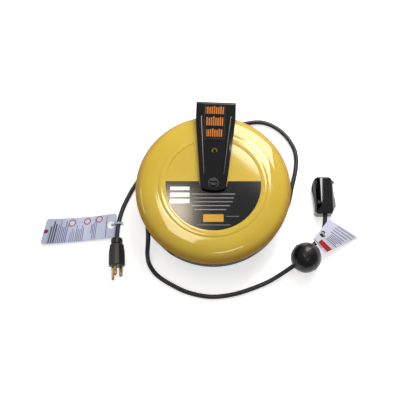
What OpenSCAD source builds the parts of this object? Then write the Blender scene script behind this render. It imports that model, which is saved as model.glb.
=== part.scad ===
// Retractable extension cord reel lying on its back. The axle is the Z axis, the floor is z = 0,
// +Y points from the axle to the mounting plate of the swivel bracket. Millimetres throughout.

/* [Housing] */
// Outside diameter of the front cover
housing_d = 248; // [247:0.5:252]
// Thickness of the cover sheet
sheet_t = 1.5; // [1.2:0.1:2]
// Depth over the outside faces of both covers
housing_depth = 63.5; // [63:0.5:68]
// Depth of the front cover, from its face to the seam
front_cover_depth = 22; // [20:0.5:24]
// Width of the domed shoulder of the front cover
shoulder_w = 35; // [28:1:38]
// Step from the front cover in to the rear cover, which fits inside it
rear_step = 2.4; // [2:0.1:3.2]
// Corner radius of the rear cover
rear_corner_r = 18; // [16:1:22]
// Radius of the stiffening bead in both faces
bead_r = 84; // [82:0.5:86]
// Width of the bead
bead_w = 11; // [8:0.5:12]
// Height of the bead on the front cover
bead_h = 2.5; // [1.5:0.1:3]
// Height of the lip of the rear cover inside the front cover
lip_h = 6; // [5:0.5:7]
// Gap left at the seam
seam_gap = 0.3; // [0.2:0.1:0.5]
// Number of screws round the seam
cover_screw_n = 5; // [4:1:5]
// Thread radius of the cover screws
cover_screw_r = 2; // [1.5:0.1:2.5]
// Head radius of the cover screws
cover_screw_head_r = 3.6; // [3:0.1:4.5]

/* [Swivel bracket] */
// Thickness of the bracket strip
bracket_t = 3; // [2.5:0.1:3.5]
// Distance from the axle to the outside of the mounting plate
bracket_reach = 140; // [137:0.5:146]
// Width of the arms at the mounting plate
arm_w_top = 64; // [60:0.5:68]
// Width of the arms at the axle
arm_w_pivot = 42; // [40:0.5:46]
// Distance from the axle at which the taper of the arms ends
arm_taper_y = 110; // [100:1:115]
// Distance from the axle to the rounded end of the arms
arm_end = 12; // [11.5:0.5:14]
// Outside bend radius of the strip
bend_r = 4.5; // [4:0.5:6]
// Radius of the embossed ribs
rib_r = 4; // [3:0.5:5]
// Height of the ribs over the strip
rib_h = 2; // [1:0.1:2.4]
// Radius of the hole for the locking screw
lock_hole_r = 4.8; // [4:0.1:5.2]
// Radius of the hole behind it in the front cover
cover_hole_r = 3; // [2:0.1:3.5]
// Height of the drawn collar round that hole
collar_h = 3.5; // [2:0.1:3.8]
// Distance from the axle to the locking hole
lock_hole_y = 56; // [50:1:60]
// Radius of the mounting holes
mount_hole_r = 3.5; // [2.5:0.1:4]
// Spacing of the mounting holes across the plate
mount_dx = 40; // [34:1:44]
// Spacing of the mounting holes along the axle
mount_dz = 50; // [44:1:54]

/* [Axle] */
// Radius of the axle inside the drum
axle_r = 10; // [9:0.5:11]
// Radius of the rear stub of the axle
rear_stub_r = 9; // [8:0.5:9.5]
// Radius of the front stub of the axle
front_stub_r = 6.5; // [6:0.5:7]
// Bore for the supply wires
wire_bore_r = 5; // [4:0.5:6]
// Running clearance of every bearing, on the radius
bearing_gap = 0.05; // [0.02:0.01:0.1]
// Wall of the bushes in the bracket
arm_bush_t = 2; // [1.5:0.1:2.5]
// Wall of the bushes in the drum
hub_bush_t = 2; // [1.5:0.1:3]
// Radius of the flange inside the rear cover
axle_flange_r = 20; // [19:0.5:24]
// Thickness of that flange
axle_flange_t = 2.5; // [2:0.1:3.5]
// Width of the screwdriver slot in the front end
slot_w = 3; // [2:0.1:4]
// Gap between the front cover and the front arm
front_gap = 4.5; // [4.2:0.1:8]
// Gap between the rear cover and the rear arm
rear_gap = 2; // [1.8:0.1:3]
// Axial play of the bracket
arm_play = 0.5; // [0.4:0.1:0.8]
// Length of the front stub beyond the front arm
front_stub_out = 5; // [4:0.5:8]

/* [Terminal cap] */
// Radius of the cap that the reel lies on
cap_r = 32; // [28:1:36]
// Height of the cap
cap_h = 13; // [12.5:0.5:16]
// Wall of the cap
cap_t = 2.5; // [2:0.1:3]
// Length of the strain relief
relief_l = 32.4; // [28:0.4:40]

/* [Drum] */
// Gap between the drum flanges and the rear cover
flange_gap = 6.1; // [5.5:0.1:9]
// Thickness of the inner layers of cord on the hub
core_t = 15.2; // [13:0.2:20]
// Wall of the hub
hub_t = 5; // [4:0.5:7]
// Thickness of the flanges
flange_t = 1.5; // [1:0.1:2]
// Distance between the flanges
channel_w = 36; // [36:0.5:37]
// Height of the rear flange over the inside of the rear cover
drum_z = 13.5; // [13:0.5:14]
// Thickness of the hub web
web_t = 3; // [2:0.5:4]
// Number of ratchet teeth
tooth_n = 12; // [12:4:16]
// Radius over the ratchet teeth
ratchet_r = 50; // [48:1:52]
// Depth of the ratchet teeth
tooth_h = 6; // [4:0.5:7]
// Thickness of the ratchet ring
ratchet_t = 4.4; // [3.5:0.1:4.6]
// Number of turns of the power spring
spring_turns = 7; // [5:1:8]
// Thickness of the spring strip
spring_t = 1.2; // [0.8:0.1:1.6]
// Width of the spring strip
spring_w = 12; // [10:0.5:12]

/* [Cord] */
// Diameter of the cord
cord_d = 7.4; // [7:0.1:7.8]
// Turns in the outer layer on the drum
wound_turns = 3; // [2:1:3]
// Pitch of these turns
wound_pitch = 8.3; // [8.2:0.05:8.5]
// Depth of the middle of the outer layer below the rim of the flanges
wound_depth = 14; // [13.5:0.5:17]

/* [Plug] */
// Length of the plug body
plug_l = 47.5; // [44:0.5:55]
// Width of the plug body over its narrow sides, at its face
plug_w = 26; // [25:0.1:26.6]
// Width of the plug body over its broad sides, at its face
plug_flat_w = 24; // [23.6:0.1:25]
// Width of the plug body over its narrow sides, at its shoulder
plug_back_w = 22.6; // [22:0.1:23]
// Radius of the rounded neck
plug_neck_r = 9.5; // [8:0.1:9.8]
// Length of the neck
plug_neck_l = 11.5; // [8:0.5:14]
// Length of the blades
blade_l = 16.5; // [14:0.5:19]
// Width of a blade
blade_w = 6.3; // [5.8:0.1:6.6]
// Thickness of a blade
blade_t = 1.5; // [1.2:0.1:1.8]
// Distance between the blades
blade_gap = 12.7; // [11:0.1:14]
// Radius of the ground pin
ground_r = 2.4; // [2:0.1:2.5]
// Length of the ground pin
ground_l = 21.5; // [19:0.5:22]

/* [Ball stop] */
// Radius of the ball stop
ball_r = 24.5; // [23.5:0.5:24.8]
// Wall of the ball stop
ball_t = 4; // [3:0.5:5]
// Height of the ribs over the ball
ball_rib = 0.6; // [0.4:0.1:0.6]
// Width of the rib that follows the cord
ball_rib_w = 5; // [3:0.5:6]

/* [Connector] */
// Length of the connector
conn_l = 62; // [58:1:70]
// Width of the connector
conn_w = 33; // [32:1:35]
// Height of the connector
conn_h = 29; // [28:0.5:32]
// Width of the steep facets along its long edges
conn_chamfer = 6.5; // [5:0.5:8]
// Wall of the connector shells
conn_t = 3.5; // [3:0.1:4]

/* [Paper] */
// Thickness of the tags
tag_t = 0.8; // [0.6:0.1:1]
// Radius of the hole in each tag
tag_hole_r = 6; // [5:0.5:7]
// Thickness of the label
label_t = 0.4; // [0.3:0.1:0.5]
// Radius of the label
label_r = 77; // [70:0.5:78]
// Distance of the straight edge of the label from the axle
label_y = 5.5; // [4:0.5:8]

/* [Hidden] */
$fn = 64;

// Colours
yellow = "#D2B545";
black_steel = "#26262A";
black_nylon = "#1E1E20";
black_rubber = "#2B2B2E";
zinc = "#B9BCC0";
steel = "#8E9196";
brass = "#C9A24A";
phenolic = "#5A3A24";
paper_white = "#E2E2F0";

// Heights, from the floor up
rear_arm_z = cap_h + arm_play;
rear_z = rear_arm_z + bracket_t + rear_gap;
front_z = rear_z + housing_depth;
seam_z = front_z - front_cover_depth;
front_arm_z = front_z + front_gap;
bracket_top = front_arm_z + bracket_t;
inside_z = rear_z + sheet_t;
ceiling_z = front_z - sheet_t;

// Covers
housing_r = housing_d / 2;
inner_r = housing_r - sheet_t;
rear_r = housing_r - rear_step;
rear_in_r = rear_r - sheet_t;
flange_r = rear_in_r - flange_gap;
shoulder_h = front_cover_depth - 2;
hem_h = 1.4;
label_cut = 3.7;
screw_z = seam_z - 8;
tab_w = 14;
view_a = 2.2;
first_screw_a = 270 + view_a;
cover_screw_angles = [for (i = [0:cover_screw_n - 1]) first_screw_a + i * 360 / cover_screw_n];

// Cord outlet: a flat in the rear cover, and a window that the guide fills
outlet_a = 229;
outlet_flat = rear_r - 2;
guide_a0 = 205;
guide_a1 = 245;
guide_z = seam_z - 22;
guide_h = 22 - seam_gap;
guide_in_r = flange_r + 0.5;
guide_out_r = rear_r + 0.5;
mouth_z = guide_z + 3.5;
mouth_h = 15;
feed_a = 187.7;
wound_sides = 6;
wound_steps = 24;

// Drum
wound_r = flange_r - wound_depth;
core_r = (wound_r - cord_d / 2) * cos(180 / wound_steps) - 0.3;
hub_r = core_r - core_t;
drum_back_z = inside_z + drum_z;
channel_z = drum_back_z + flange_t;
channel_top = channel_z + channel_w;
front_flange_top = channel_top + flange_t;
boss_r = axle_r + bearing_gap + hub_bush_t + 4;
bush_r = axle_r + bearing_gap + hub_bush_t;
rear_boss_h = 13;
hub_cover_t = 2.5;
spring_z = channel_z + rear_boss_h + 1;
front_boss_h = channel_top - spring_z - spring_w - 1;
carrier_t = 4;
ring_t = 1.6;
ring_w = 4;
ring_radii = [25, 34, 43];
carrier_r = ring_radii[2] + ring_w + 3;
brush_gap = 0.3;
brush_a = 300;
rivet_r = 1.6;
rivet_head_r = 2.8;
drum_rivet_n = 6;
drum_rivet_at = hub_r - hub_t - 8;

// Pawl, in the plane of the ratchet
pawl_pin_r = 3;
pawl_at = [53, -28];
pawl_t = 3;
pawl_z = front_flange_top + 1.2;
pawl_gap = 0.4;
pawl_rake = 1;

// Cord routes, from the reel outwards: points chosen by hand; the output cord starts at the rear cover
relief_a = -24.7;
relief_from = cap_r + 5;
relief_to = relief_from + relief_l;
supply_route = [
    [relief_to * cos(relief_a), relief_to * sin(relief_a), 6.5],
    [80, -36, 5.5], [98, -34, 3.8], [114, -22, 3.8], [125, -2, 3.8],
    [130.5, 26, 3.8], [134, 42, 3.8], [137, 59, 3.8], [138, 76, 3.8], [136, 91, 3.8],
    [130, 105, 3.8], [120, 119.5, 3.8], [106, 132, 3.8], [89, 140.5, 3.8], [71, 143, 3.8],
    [46, 138, 3.8], [10, 125, 3.8], [-36, 103, 3.8], [-80, 78, 3.8], [-112, 49, 3.8],
    [-131, 19, 3.8], [-140, 0, 4], [-145.8, -15, 5], [-149.5, -29, 7], [-151.8, -43, 9.5],
    [-153.1, -58, 12], [-153.4, -73.5, 13.3]
];
output_points = [
    [-101.6, -67.1, 47.7], [-100.9, -73.8, 47.2], [-100.3, -83.3, 45.3], [-100.6, -93.7, 40.2],
    [-101, -103.6, 31.3], [-99.2, -113.6, 18.3], [-93.4, -123, 9.6], [-82.6, -133.2, 4.4],
    [-61, -146, 3.8], [-32, -158, 3.8], [4, -163, 3.8], [41, -157, 3.8], [78, -143, 4], [104, -129.5, 7],
    [133.2, -110.7, 18], [151.5, -97.2, 23.4], [163.5, -77.5, 20.5], [172.3, -66.5, 15.5],
    [180, -55.5, 11.5], [184, -40, 11.5], [185.2, -22, 13]
];
outlet_at = [output_points[0][0], output_points[0][1], 0];
outlet_shift = (rear_r - norm(outlet_at)) * unit(outlet_at);
output_route = [for (i = [0:len(output_points) - 1]) output_points[i] + max(0, 1 - i / 8) * outlet_shift];
feed_r = wound_r + cord_d + 1.2;
feed_from = [feed_r * cos(feed_a), feed_r * sin(feed_a), 50];
cord_sides = 10;

// Plug, lying on the floor at the end of the supply cord
plug_at = supply_route[len(supply_route) - 1];
plug_a = 184;
plug_roll = 42;
plug_flat_back_w = plug_back_w * plug_flat_w / plug_w;
blade_x = -2.5;
ground_x = blade_x + 11.9;

// Ball stop, threaded on the output cord
ball_at = [152.4, -98, 25.2];
ball_in = output_route[14] - ball_at;
ball_out = output_route[16] - ball_at;
port_r = cord_d / 2 + 0.5;
ball_screw_at = 13;
ball_rib_a = 41;

// Connector, at the end of the output cord
conn_at = output_route[len(output_route) - 1];
conn_a = 3;
conn_mid = -2.7;
conn_split = 14.5;
conn_cavity_w = conn_w - 2 * conn_t - 4;
conn_cavity_h = conn_h - 2 * conn_t - 2;
conn_face_l = 12;
conn_screw = [-10.1, 19.8, 23];

// Tags: corners of each sheet, the two at the cord first; then the hole and the tie
supply_tag_corners = [[-156, -30, 9], [-156, -71.5, 6.5], [-278.5, -89, 8], [-270.5, -44.5, 9]];
supply_tag_hole = [-164.7, -50.2];
supply_tie_at = [-152.3, -48.5, 10.4];
output_tag_corners = [[190.5, -29.5, 16.8], [163, -67.5, 25.2], [183.4, -87.6, 12], [241, -55.5, 2.5]];
output_tag_hole = [180.3, -56.5];
output_tie_at = [180, -55.5, 11.5];

// ---------- helpers ----------

// Ring of rectangular section round the axle
module ring(r_in, r_out, z, h) {
    rotate_extrude() translate([r_in, z]) square([r_out - r_in, h]);
}

// Children repeated at the given angles round the axle
module at_angles(angles) {
    for (a = angles) rotate([0, 0, a]) children();
}

// Rod between two points
module rod(from, to, r) {
    v = to - from;
    len_v = norm(v);
    turn = atan2(v[1], v[0]);
    tilt = acos(v[2] / len_v);
    translate(from) rotate([0, tilt, turn]) cylinder(r = r, h = len_v);
}

// Quarter ellipse from the top of a shoulder down its side
function shoulder(r0, z0, a, b, n) = [for (i = [0:n]) [r0 + a * sin(90 * i / n), z0 + b * cos(90 * i / n)]];

// Smooth bead in a flat face, along the radius
function bead(r, w, z, h, n) = [for (i = [0:n]) [r - w / 2 + w * i / n, z + h * (1 - cos(360 * i / n)) / 2]];

function reversed(v) = [for (i = [len(v) - 1:-1:0]) v[i]];

// Point on a smooth curve through the points of a route
function curve_point(p0, p1, p2, p3, t) = 0.5 * (2 * p1 + (p2 - p0) * t
    + (2 * p0 - 5 * p1 + 4 * p2 - p3) * t * t + (3 * p1 - p0 - 3 * p2 + p3) * t * t * t);

function smooth(route, n) = concat([
    for (i = [0:len(route) - 2])
        let (before = i == 0 ? 2 * route[0] - route[1] : route[i - 1],
             after = i == len(route) - 2 ? 2 * route[i + 1] - route[i] : route[i + 2])
        for (k = [0:n - 1]) curve_point(before, route[i], route[i + 1], after, k / n)
], [route[len(route) - 1]]);

function unit(v) = v / norm(v);

function heading(path, i) = unit(path[min(i + 1, len(path) - 1)] - path[max(i - 1, 0)]);

// Ring of points square to a path
function ring_points(centre, dir, r, sides) =
    let (side = unit(cross(dir, [0, 0, 1])), up = cross(side, dir))
    [for (j = [0:sides - 1]) centre + r * (cos(360 * j / sides) * side + sin(360 * j / sides) * up)];

// Tube along a path, one unbroken closed skin
module tube(path, r, sides) {
    last = len(path) - 1;
    points = [for (i = [0:last]) for (p = ring_points(path[i], heading(path, i), r, sides)) p];
    skin = [for (i = [0:last - 1]) for (j = [0:sides - 1])
        let (k = (j + 1) % sides, a = i * sides, b = a + sides)
        for (f = [[a + j, a + k, b + k], [a + j, b + k, b + j]]) f];
    start_cap = [for (j = [1:sides - 2]) [0, j + 1, j]];
    end_cap = [for (j = [1:sides - 2]) [last * sides, last * sides + j, last * sides + j + 1]];
    polyhedron(points, concat(skin, start_cap, end_cap));
}

// ---------- covers ----------

front_skin = concat(
    [[front_stub_r + 0.1, front_z]],
    bead(bead_r, bead_w, front_z, bead_h, 8),
    shoulder(housing_r - shoulder_w, front_z - shoulder_h, shoulder_w, shoulder_h, 10),
    [[housing_r, seam_z]]
);
front_lining = concat(
    [[front_stub_r + 0.1, ceiling_z]],
    bead(bead_r, bead_w - sheet_t, ceiling_z, bead_h, 6),
    shoulder(housing_r - shoulder_w, front_z - shoulder_h, shoulder_w - sheet_t, shoulder_h - sheet_t, 8),
    [[rear_r + 0.1, seam_z + hem_h], [rear_r + 0.1, seam_z]]
);

// Tab of the front cover that reaches inside the rear cover and takes a cover screw
module cover_tab() {
    tab_in = rear_in_r - 0.3 - sheet_t;
    translate([tab_in, -tab_w / 2, screw_z - 6]) cube([sheet_t, tab_w, seam_z + lip_h - screw_z + 6]);
    translate([tab_in, -tab_w / 2, seam_z + 2.6]) cube([inner_r - tab_in + 0.6, tab_w, lip_h - 2.6]);
}

// Cone of the collar round the locking hole, grown by g, standing on a height
module lock_collar(z, g) {
    wide = cover_hole_r + 4.6 + g;
    narrow = cover_hole_r + 0.8 + g;
    translate([0, lock_hole_y, z])
        rotate_extrude() polygon([[0, -0.5], [wide, -0.5], [wide, 0], [narrow, collar_h], [0, collar_h]]);
}

module front_cover() {
    color(yellow) difference() {
        union() {
            rotate_extrude($fn = 128) polygon(concat(front_skin, reversed(front_lining)));
            at_angles(cover_screw_angles) cover_tab();
            lock_collar(front_z, sheet_t);
        }
        lock_collar(ceiling_z, 0);
        translate([0, lock_hole_y, ceiling_z - 1]) cylinder(r = cover_hole_r, h = sheet_t + collar_h + 2);
        at_angles(cover_screw_angles) translate([rear_in_r - 5, 0, screw_z])
            rotate([0, 90, 0]) cylinder(r = cover_screw_r + 0.1, h = 5.5);
    }
}

rear_skin = concat(
    [[rear_stub_r + 0.1, rear_z]],
    bead(bead_r, bead_w, rear_z, 2, 8),
    [for (p = shoulder(rear_r - rear_corner_r, 0, rear_corner_r, rear_corner_r, 8))
        [p[0], rear_z + rear_corner_r - p[1]]],
    [[rear_r, seam_z + lip_h]]
);
rear_lining = concat(
    [[rear_stub_r + 0.1, inside_z]],
    bead(bead_r, bead_w + sheet_t, inside_z, 2, 8),
    [for (p = shoulder(rear_r - rear_corner_r, 0, rear_corner_r - sheet_t, rear_corner_r - sheet_t, 8))
        [p[0], rear_z + rear_corner_r - p[1]]],
    [[rear_in_r, seam_z + lip_h]]
);

// Everything farther than a distance from the axle along one direction
module beyond(angle, distance) {
    rotate([0, 0, angle]) translate([distance, -housing_r, -10]) cube([housing_r, housing_d, 200]);
}

// Sector of a ring, over a range of angles
module sector(r_in, r_out, z, h, a0, a1) {
    rotate([0, 0, a0]) rotate_extrude(angle = a1 - a0) translate([r_in, z]) square([r_out - r_in, h]);
}

module rear_cover() {
    color(black_steel) difference() {
        union() {
            difference() {
                rotate_extrude($fn = 128) polygon(concat(rear_skin, reversed(rear_lining)));
                intersection() {
                    beyond(outlet_a, outlet_flat);
                    translate([0, 0, rear_z - 1])
                        cylinder(r = housing_r, h = seam_z - seam_gap - rear_z + 1);
                }
            }
            intersection() {
                rotate_extrude($fn = 128) polygon(concat(rear_skin, [[0, seam_z + lip_h], [0, rear_z]]));
                difference() {
                    beyond(outlet_a, outlet_flat - sheet_t);
                    beyond(outlet_a, outlet_flat);
                    translate([0, 0, seam_z - seam_gap]) cylinder(r = housing_r, h = 20);
                }
            }
        }
        sector(guide_in_r - 0.1, housing_r + 5, guide_z, guide_h, guide_a0, guide_a1);
        at_angles(cover_screw_angles) {
            translate([rear_in_r - 2, -tab_w / 2 - 1.5, seam_z + 1])
                cube([sheet_t + 4, tab_w + 3, lip_h + 2]);
            translate([rear_in_r - 5, 0, screw_z])
                rotate([0, 90, 0]) cylinder(r = cover_screw_r + 0.2, h = 9);
        }
        at_angles([0, 120, 240])
            translate([axle_flange_r - 3.5, 0, rear_z - 1]) cylinder(r = rivet_r + 0.05, h = sheet_t + 2);
    }
}

module cover_screws() {
    color(black_steel) at_angles(cover_screw_angles) {
        translate([rear_in_r - 4.5, 0, screw_z])
            rotate([0, 90, 0]) cylinder(r = cover_screw_r, h = sheet_t + 4.6);
        translate([rear_r + 0.03, 0, screw_z]) rotate([0, 90, 0]) difference() {
            cylinder(r1 = cover_screw_head_r, r2 = cover_screw_head_r - 1, h = 1.8);
            translate([-5, -0.5, 1]) cube([10, 1, 2]);
        }
    }
}

// Nylon frame with a bell mouth that the cord runs through; one cheek follows the line of the cord
module cord_guide() {
    bevel = 1.6;
    color(black_nylon) difference() {
        sector(guide_in_r, guide_out_r, guide_z, guide_h, guide_a0 + 0.1, guide_a1 - 0.1);
        beyond(outlet_a, outlet_flat + 0.8);
        difference() {
            rotate([0, 0, guide_a0 - 6]) rotate_extrude(angle = guide_a1 - guide_a0 + 3) polygon([
                [guide_in_r - 1, mouth_z - bevel - 1], [guide_in_r + bevel, mouth_z],
                [guide_out_r - 4, mouth_z], [guide_out_r, mouth_z - bevel],
                [guide_out_r + 1, mouth_z - bevel], [guide_out_r + 1, mouth_z + mouth_h + bevel],
                [guide_out_r, mouth_z + mouth_h + bevel], [guide_out_r - 4, mouth_z + mouth_h],
                [guide_in_r + bevel, mouth_z + mouth_h], [guide_in_r - 1, mouth_z + mouth_h + bevel + 1]
            ]);
            beyond(feed_a, output_route[1] * [cos(feed_a), sin(feed_a), 0] + cord_d / 2 + 0.6);
        }
    }
}

// Half-disc label on the front face, cut out round the end of the front arm
module label() {
    color(black_steel) difference() {
        translate([0, 0, front_z]) cylinder(r = label_r, h = label_t, $fn = 128);
        rotate([0, 0, view_a]) translate([-housing_r, label_y, front_z - 1])
            cube([housing_d, housing_r, 4]);
        translate([0, label_cut, front_z - 1]) linear_extrude(4) polygon(arm_outline(1.2));
    }
}

// ---------- swivel bracket ----------

function arm_half_w(y) = arm_w_pivot / 2
    + (arm_w_top - arm_w_pivot) / 2 * min(y, arm_taper_y) / arm_taper_y;

// Right half of the outline of an arm, from its rounded end upwards, grown by g on every side
function arm_side(g) = concat(
    [for (i = [0:4]) let (a = 5 * i, r = 3.6 * arm_end + g) [r * sin(a), r - arm_end - g - r * cos(a)]],
    [[arm_half_w(-8) - 2.2 + g, -8.2 - 0.6 * g], [arm_half_w(-5.5) - 0.4 + g, -5.5],
     [arm_half_w(0) + g, 0], [arm_w_top / 2 + g, arm_taper_y], [arm_w_top / 2 + g, bracket_reach + 5]]
);

function arm_outline(g) = concat(arm_side(g), [for (p = reversed(arm_side(g))) [-p[0], p[1]]]);

// Side view of the bent strip, as a solid bar grown inwards by the strip thickness
module bent_profile(inset) {
    r = bend_r - inset;
    y1 = bracket_reach - inset;
    z0 = rear_arm_z + inset;
    z1 = bracket_top - inset;
    translate([-80, z0]) square([80 + y1 - r, z1 - z0]);
    translate([y1 - r - 1, z0 + r]) square([r + 1, z1 - z0 - 2 * r]);
    for (z = [z0 + r, z1 - r]) translate([y1 - r, z]) circle(r);
}

// Long rib with rounded ends, lying along X from the origin
module rib(length, r) {
    n = 5;
    rotate([0, 90, 0]) rotate_extrude($fn = 32) polygon(concat(
        [for (i = [0:n]) [r * sin(90 * i / n), r - r * cos(90 * i / n)]],
        [for (i = [0:n]) [r * cos(90 * i / n), length - r + r * sin(90 * i / n)]]
    ));
}

// Both ribs of an arm; they follow its tapered sides
module rib_pair(r) {
    for (s = [-1, 1]) {
        from = [s * (arm_half_w(12) - 6.8), 12];
        to = [s * (arm_half_w(115) - 7.8), 115];
        v = to - from;
        translate([from[0], from[1], 0]) rotate([0, 0, atan2(v[1], v[0])])
            translate([-(r - rib_r), 0, 0]) rib(norm(v) + 2 * (r - rib_r), r);
    }
}

module swivel_bracket() {
    span = arm_w_top + 20;
    color(black_steel) difference() {
        union() {
            intersection() {
                translate([-span / 2, 0, 0]) rotate([90, 0, 90]) linear_extrude(span) difference() {
                    bent_profile(0);
                    bent_profile(bracket_t);
                }
                linear_extrude(bracket_top + 10) polygon(arm_outline(0));
            }
            intersection() {
                translate([0, 0, bracket_top + rib_h - rib_r]) rib_pair(rib_r);
                translate([-80, -20, front_arm_z]) cube([160, 160, 20]);
            }
        }
        translate([0, 0, bracket_top + rib_h - rib_r]) intersection() {
            rib_pair(rib_r - bracket_t + 1);
            translate([-80, -20, -10]) cube([160, 160, 20]);
        }
        translate([0, 0, front_arm_z - 1])
            cylinder(r = front_stub_r + bearing_gap + arm_bush_t, h = bracket_t + 2);
        translate([0, 0, rear_arm_z - 1])
            cylinder(r = rear_stub_r + bearing_gap + arm_bush_t, h = bracket_t + 2);
        translate([0, lock_hole_y, front_arm_z - 1]) cylinder(r = lock_hole_r, h = bracket_t + 2);
        translate([0, bracket_reach + 1, (rear_arm_z + bracket_top) / 2])
            for (x = [-1, 1], z = [-1, 1]) translate([x * mount_dx / 2, 0, z * mount_dz / 2])
                rotate([90, 0, 0]) cylinder(r = mount_hole_r, h = bracket_t + 2);
    }
}

module bracket_bushes() {
    front_in = front_stub_r + bearing_gap;
    rear_in = rear_stub_r + bearing_gap;
    color(black_nylon) {
        ring(front_in, front_in + arm_bush_t, front_arm_z - 0.1, bracket_t + 0.4);
        ring(rear_in, rear_in + arm_bush_t, rear_arm_z - 0.1, bracket_t + 0.2);
    }
}

// ---------- axle and what sits on it ----------

module centre_shaft() {
    front_end = bracket_top + front_stub_out;
    color(steel) difference() {
        union() {
            translate([0, 0, cap_t + 3]) cylinder(r = rear_stub_r, h = inside_z - cap_t - 3);
            translate([0, 0, inside_z]) cylinder(r = axle_flange_r, h = axle_flange_t);
            translate([0, 0, inside_z]) cylinder(r = axle_r, h = ceiling_z - inside_z);
            translate([0, 0, ceiling_z]) cylinder(r = front_stub_r, h = front_end - ceiling_z - 0.8);
            translate([0, 0, front_end - 0.8])
                cylinder(r1 = front_stub_r, r2 = front_stub_r - 0.8, h = 0.8);
        }
        cylinder(r = wire_bore_r, h = inside_z + 10);
        translate([-20, 0, inside_z + 6]) rotate([0, 90, 0]) cylinder(r = 2, h = 20);
        translate([-10, -slot_w / 2, front_end - 3]) cube([20, slot_w, 5]);
        ring(front_stub_r - 1, front_stub_r + 1, bracket_top + 0.7, 1.1);
        at_angles([0, 120, 240]) translate([axle_flange_r - 3.5, 0, inside_z - 1])
            cylinder(r = rivet_r + 0.05, h = axle_flange_t + 2);
    }
}

module flange_rivets() {
    color(zinc) at_angles([0, 120, 240]) translate([axle_flange_r - 3.5, 0, 0]) {
        translate([0, 0, rear_z]) cylinder(r = rivet_r, h = sheet_t + axle_flange_t);
        translate([0, 0, rear_z - 1]) cylinder(r1 = rivet_head_r - 0.8, r2 = rivet_head_r, h = 1);
        translate([0, 0, inside_z + axle_flange_t])
            cylinder(r1 = rivet_head_r, r2 = rivet_head_r - 0.8, h = 1);
    }
}

// Hexagonal nut that clamps the front cover to the shoulder of the axle
module front_nut() {
    nut_h = front_gap - 0.4;
    nut_r = 10.2;
    color(zinc) translate([0, 0, front_z]) difference() {
        intersection() {
            cylinder(r = nut_r, h = nut_h, $fn = 6);
            cylinder(r1 = nut_r + nut_h - 1, r2 = nut_r - 1.2, h = nut_h);
        }
        translate([0, 0, -1]) cylinder(r = front_stub_r, h = nut_h + 2);
    }
}

module thrust_washers() {
    color(zinc) ring(rear_stub_r, axle_flange_r - 3.5 - rivet_head_r - 0.4, rear_z - 1.4, 1.4);
    color(zinc) ring(rear_stub_r, rear_stub_r + 5, cap_h - 0.1, 0.3);
}

// Ring in the groove of the front stub that keeps the bracket on
module retaining_ring() {
    color(steel) difference() {
        ring(front_stub_r - 1, front_stub_r + 2, bracket_top + 0.75, 1);
        translate([-1.5, -12, bracket_top]) cube([3, 10, 3]);
    }
}

// Plate on the rear end of the axle, which closes the terminal cap
module terminal_plate() {
    color(black_steel) difference() {
        translate([0, 0, cap_h - 2.1]) cylinder(r = cap_r - cap_t - 0.1, h = 1.95);
        translate([0, 0, cap_h - 4]) cylinder(r = rear_stub_r, h = 6);
        at_angles([90, 210, 330]) translate([cap_r - cap_t - 4.5, 0, cap_h - 4]) cylinder(r = 1.5, h = 6);
    }
}

module terminal_cap() {
    color(black_nylon) difference() {
        union() {
            rotate_extrude() polygon([
                [0, 0], [cap_r - 3, 0], [cap_r - 0.9, 0.9], [cap_r, 3], [cap_r, cap_h],
                [cap_r - cap_t, cap_h], [cap_r - cap_t, cap_t], [0, cap_t]
            ]);
            at_angles([90, 210, 330]) translate([cap_r - cap_t - 4.5, 0, 1])
                cylinder(r = 4, h = cap_h - 2.1 - 1);
            rotate([0, 0, relief_a]) translate([cap_r - 3, -7, 0.3]) cube([8, 14, 11.9]);
        }
        rotate([0, 0, relief_a]) translate([cap_r - 8, 0, supply_route[0][2]])
            rotate([0, 90, 0]) cylinder(r = cord_d / 2 + 0.2, h = 20);
        at_angles([90, 210, 330]) translate([cap_r - cap_t - 4.5, 0, 0]) {
            translate([0, 0, -1]) cylinder(r = 1.6, h = cap_h + 2);
            translate([0, 0, -1]) cylinder(r = 3.2, h = 2.6);
        }
    }
}

module cap_screws() {
    color(zinc) at_angles([90, 210, 330]) translate([cap_r - cap_t - 4.5, 0, 0]) {
        translate([0, 0, 1.6]) cylinder(r = 1.5, h = cap_h - 2);
        difference() {
            translate([0, 0, 0.2]) cylinder(r = 3, h = 1.4);
            translate([-4, -0.4, -0.5]) cube([8, 0.8, 1.4]);
        }
    }
}

// Block with three brass screw terminals, on the plate inside the cap
module terminal_block() {
    block_y = 13;
    color(paper_white) translate([-12, block_y - 4, cap_h - 2.1 - 5]) cube([24, 7, 5]);
    color(brass) for (x = [-8, 0, 8]) translate([x, block_y - 0.5, cap_h - 2.1 - 6]) cylinder(r = 2, h = 1);
}

// Tapered rubber sleeve with rings, from the cap to the start of the free supply cord
module strain_relief() {
    ribs = 5;
    color(black_rubber) translate([0, 0, supply_route[0][2]]) rotate([0, 0, relief_a])
        translate([relief_from, 0, 0]) rotate([0, 90, 0]) union() {
            cylinder(r1 = 6.3, r2 = cord_d / 2 + 0.4, h = relief_l);
            for (i = [0:ribs - 1]) translate([0, 0, 2 + i * relief_l / ribs])
                cylinder(r = 6.45 - i * 0.25, h = 1.8);
            translate([0, 0, -9]) cylinder(r = cord_d / 2, h = 9.5);
        }
}

// ---------- brushes ----------

module brush_holder() {
    color(phenolic) rotate([0, 0, brush_a]) difference() {
        translate([ring_radii[0] - 5, -7, inside_z])
            cube([ring_radii[2] - ring_radii[0] + 12, 14, 5.4]);
        for (r = ring_radii) translate([r - 0.4, -2.6, inside_z + 1]) cube([5.2, 5.2, 6]);
    }
}

brush_top = drum_back_z - carrier_t - ring_t + 0.6 - brush_gap;

module brushes() {
    color("#3A3A3A") rotate([0, 0, brush_a]) for (r = ring_radii)
        translate([r - 0.3, -2.5, inside_z + 3.6]) cube([5, 5, brush_top - inside_z - 3.6]);
}

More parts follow.
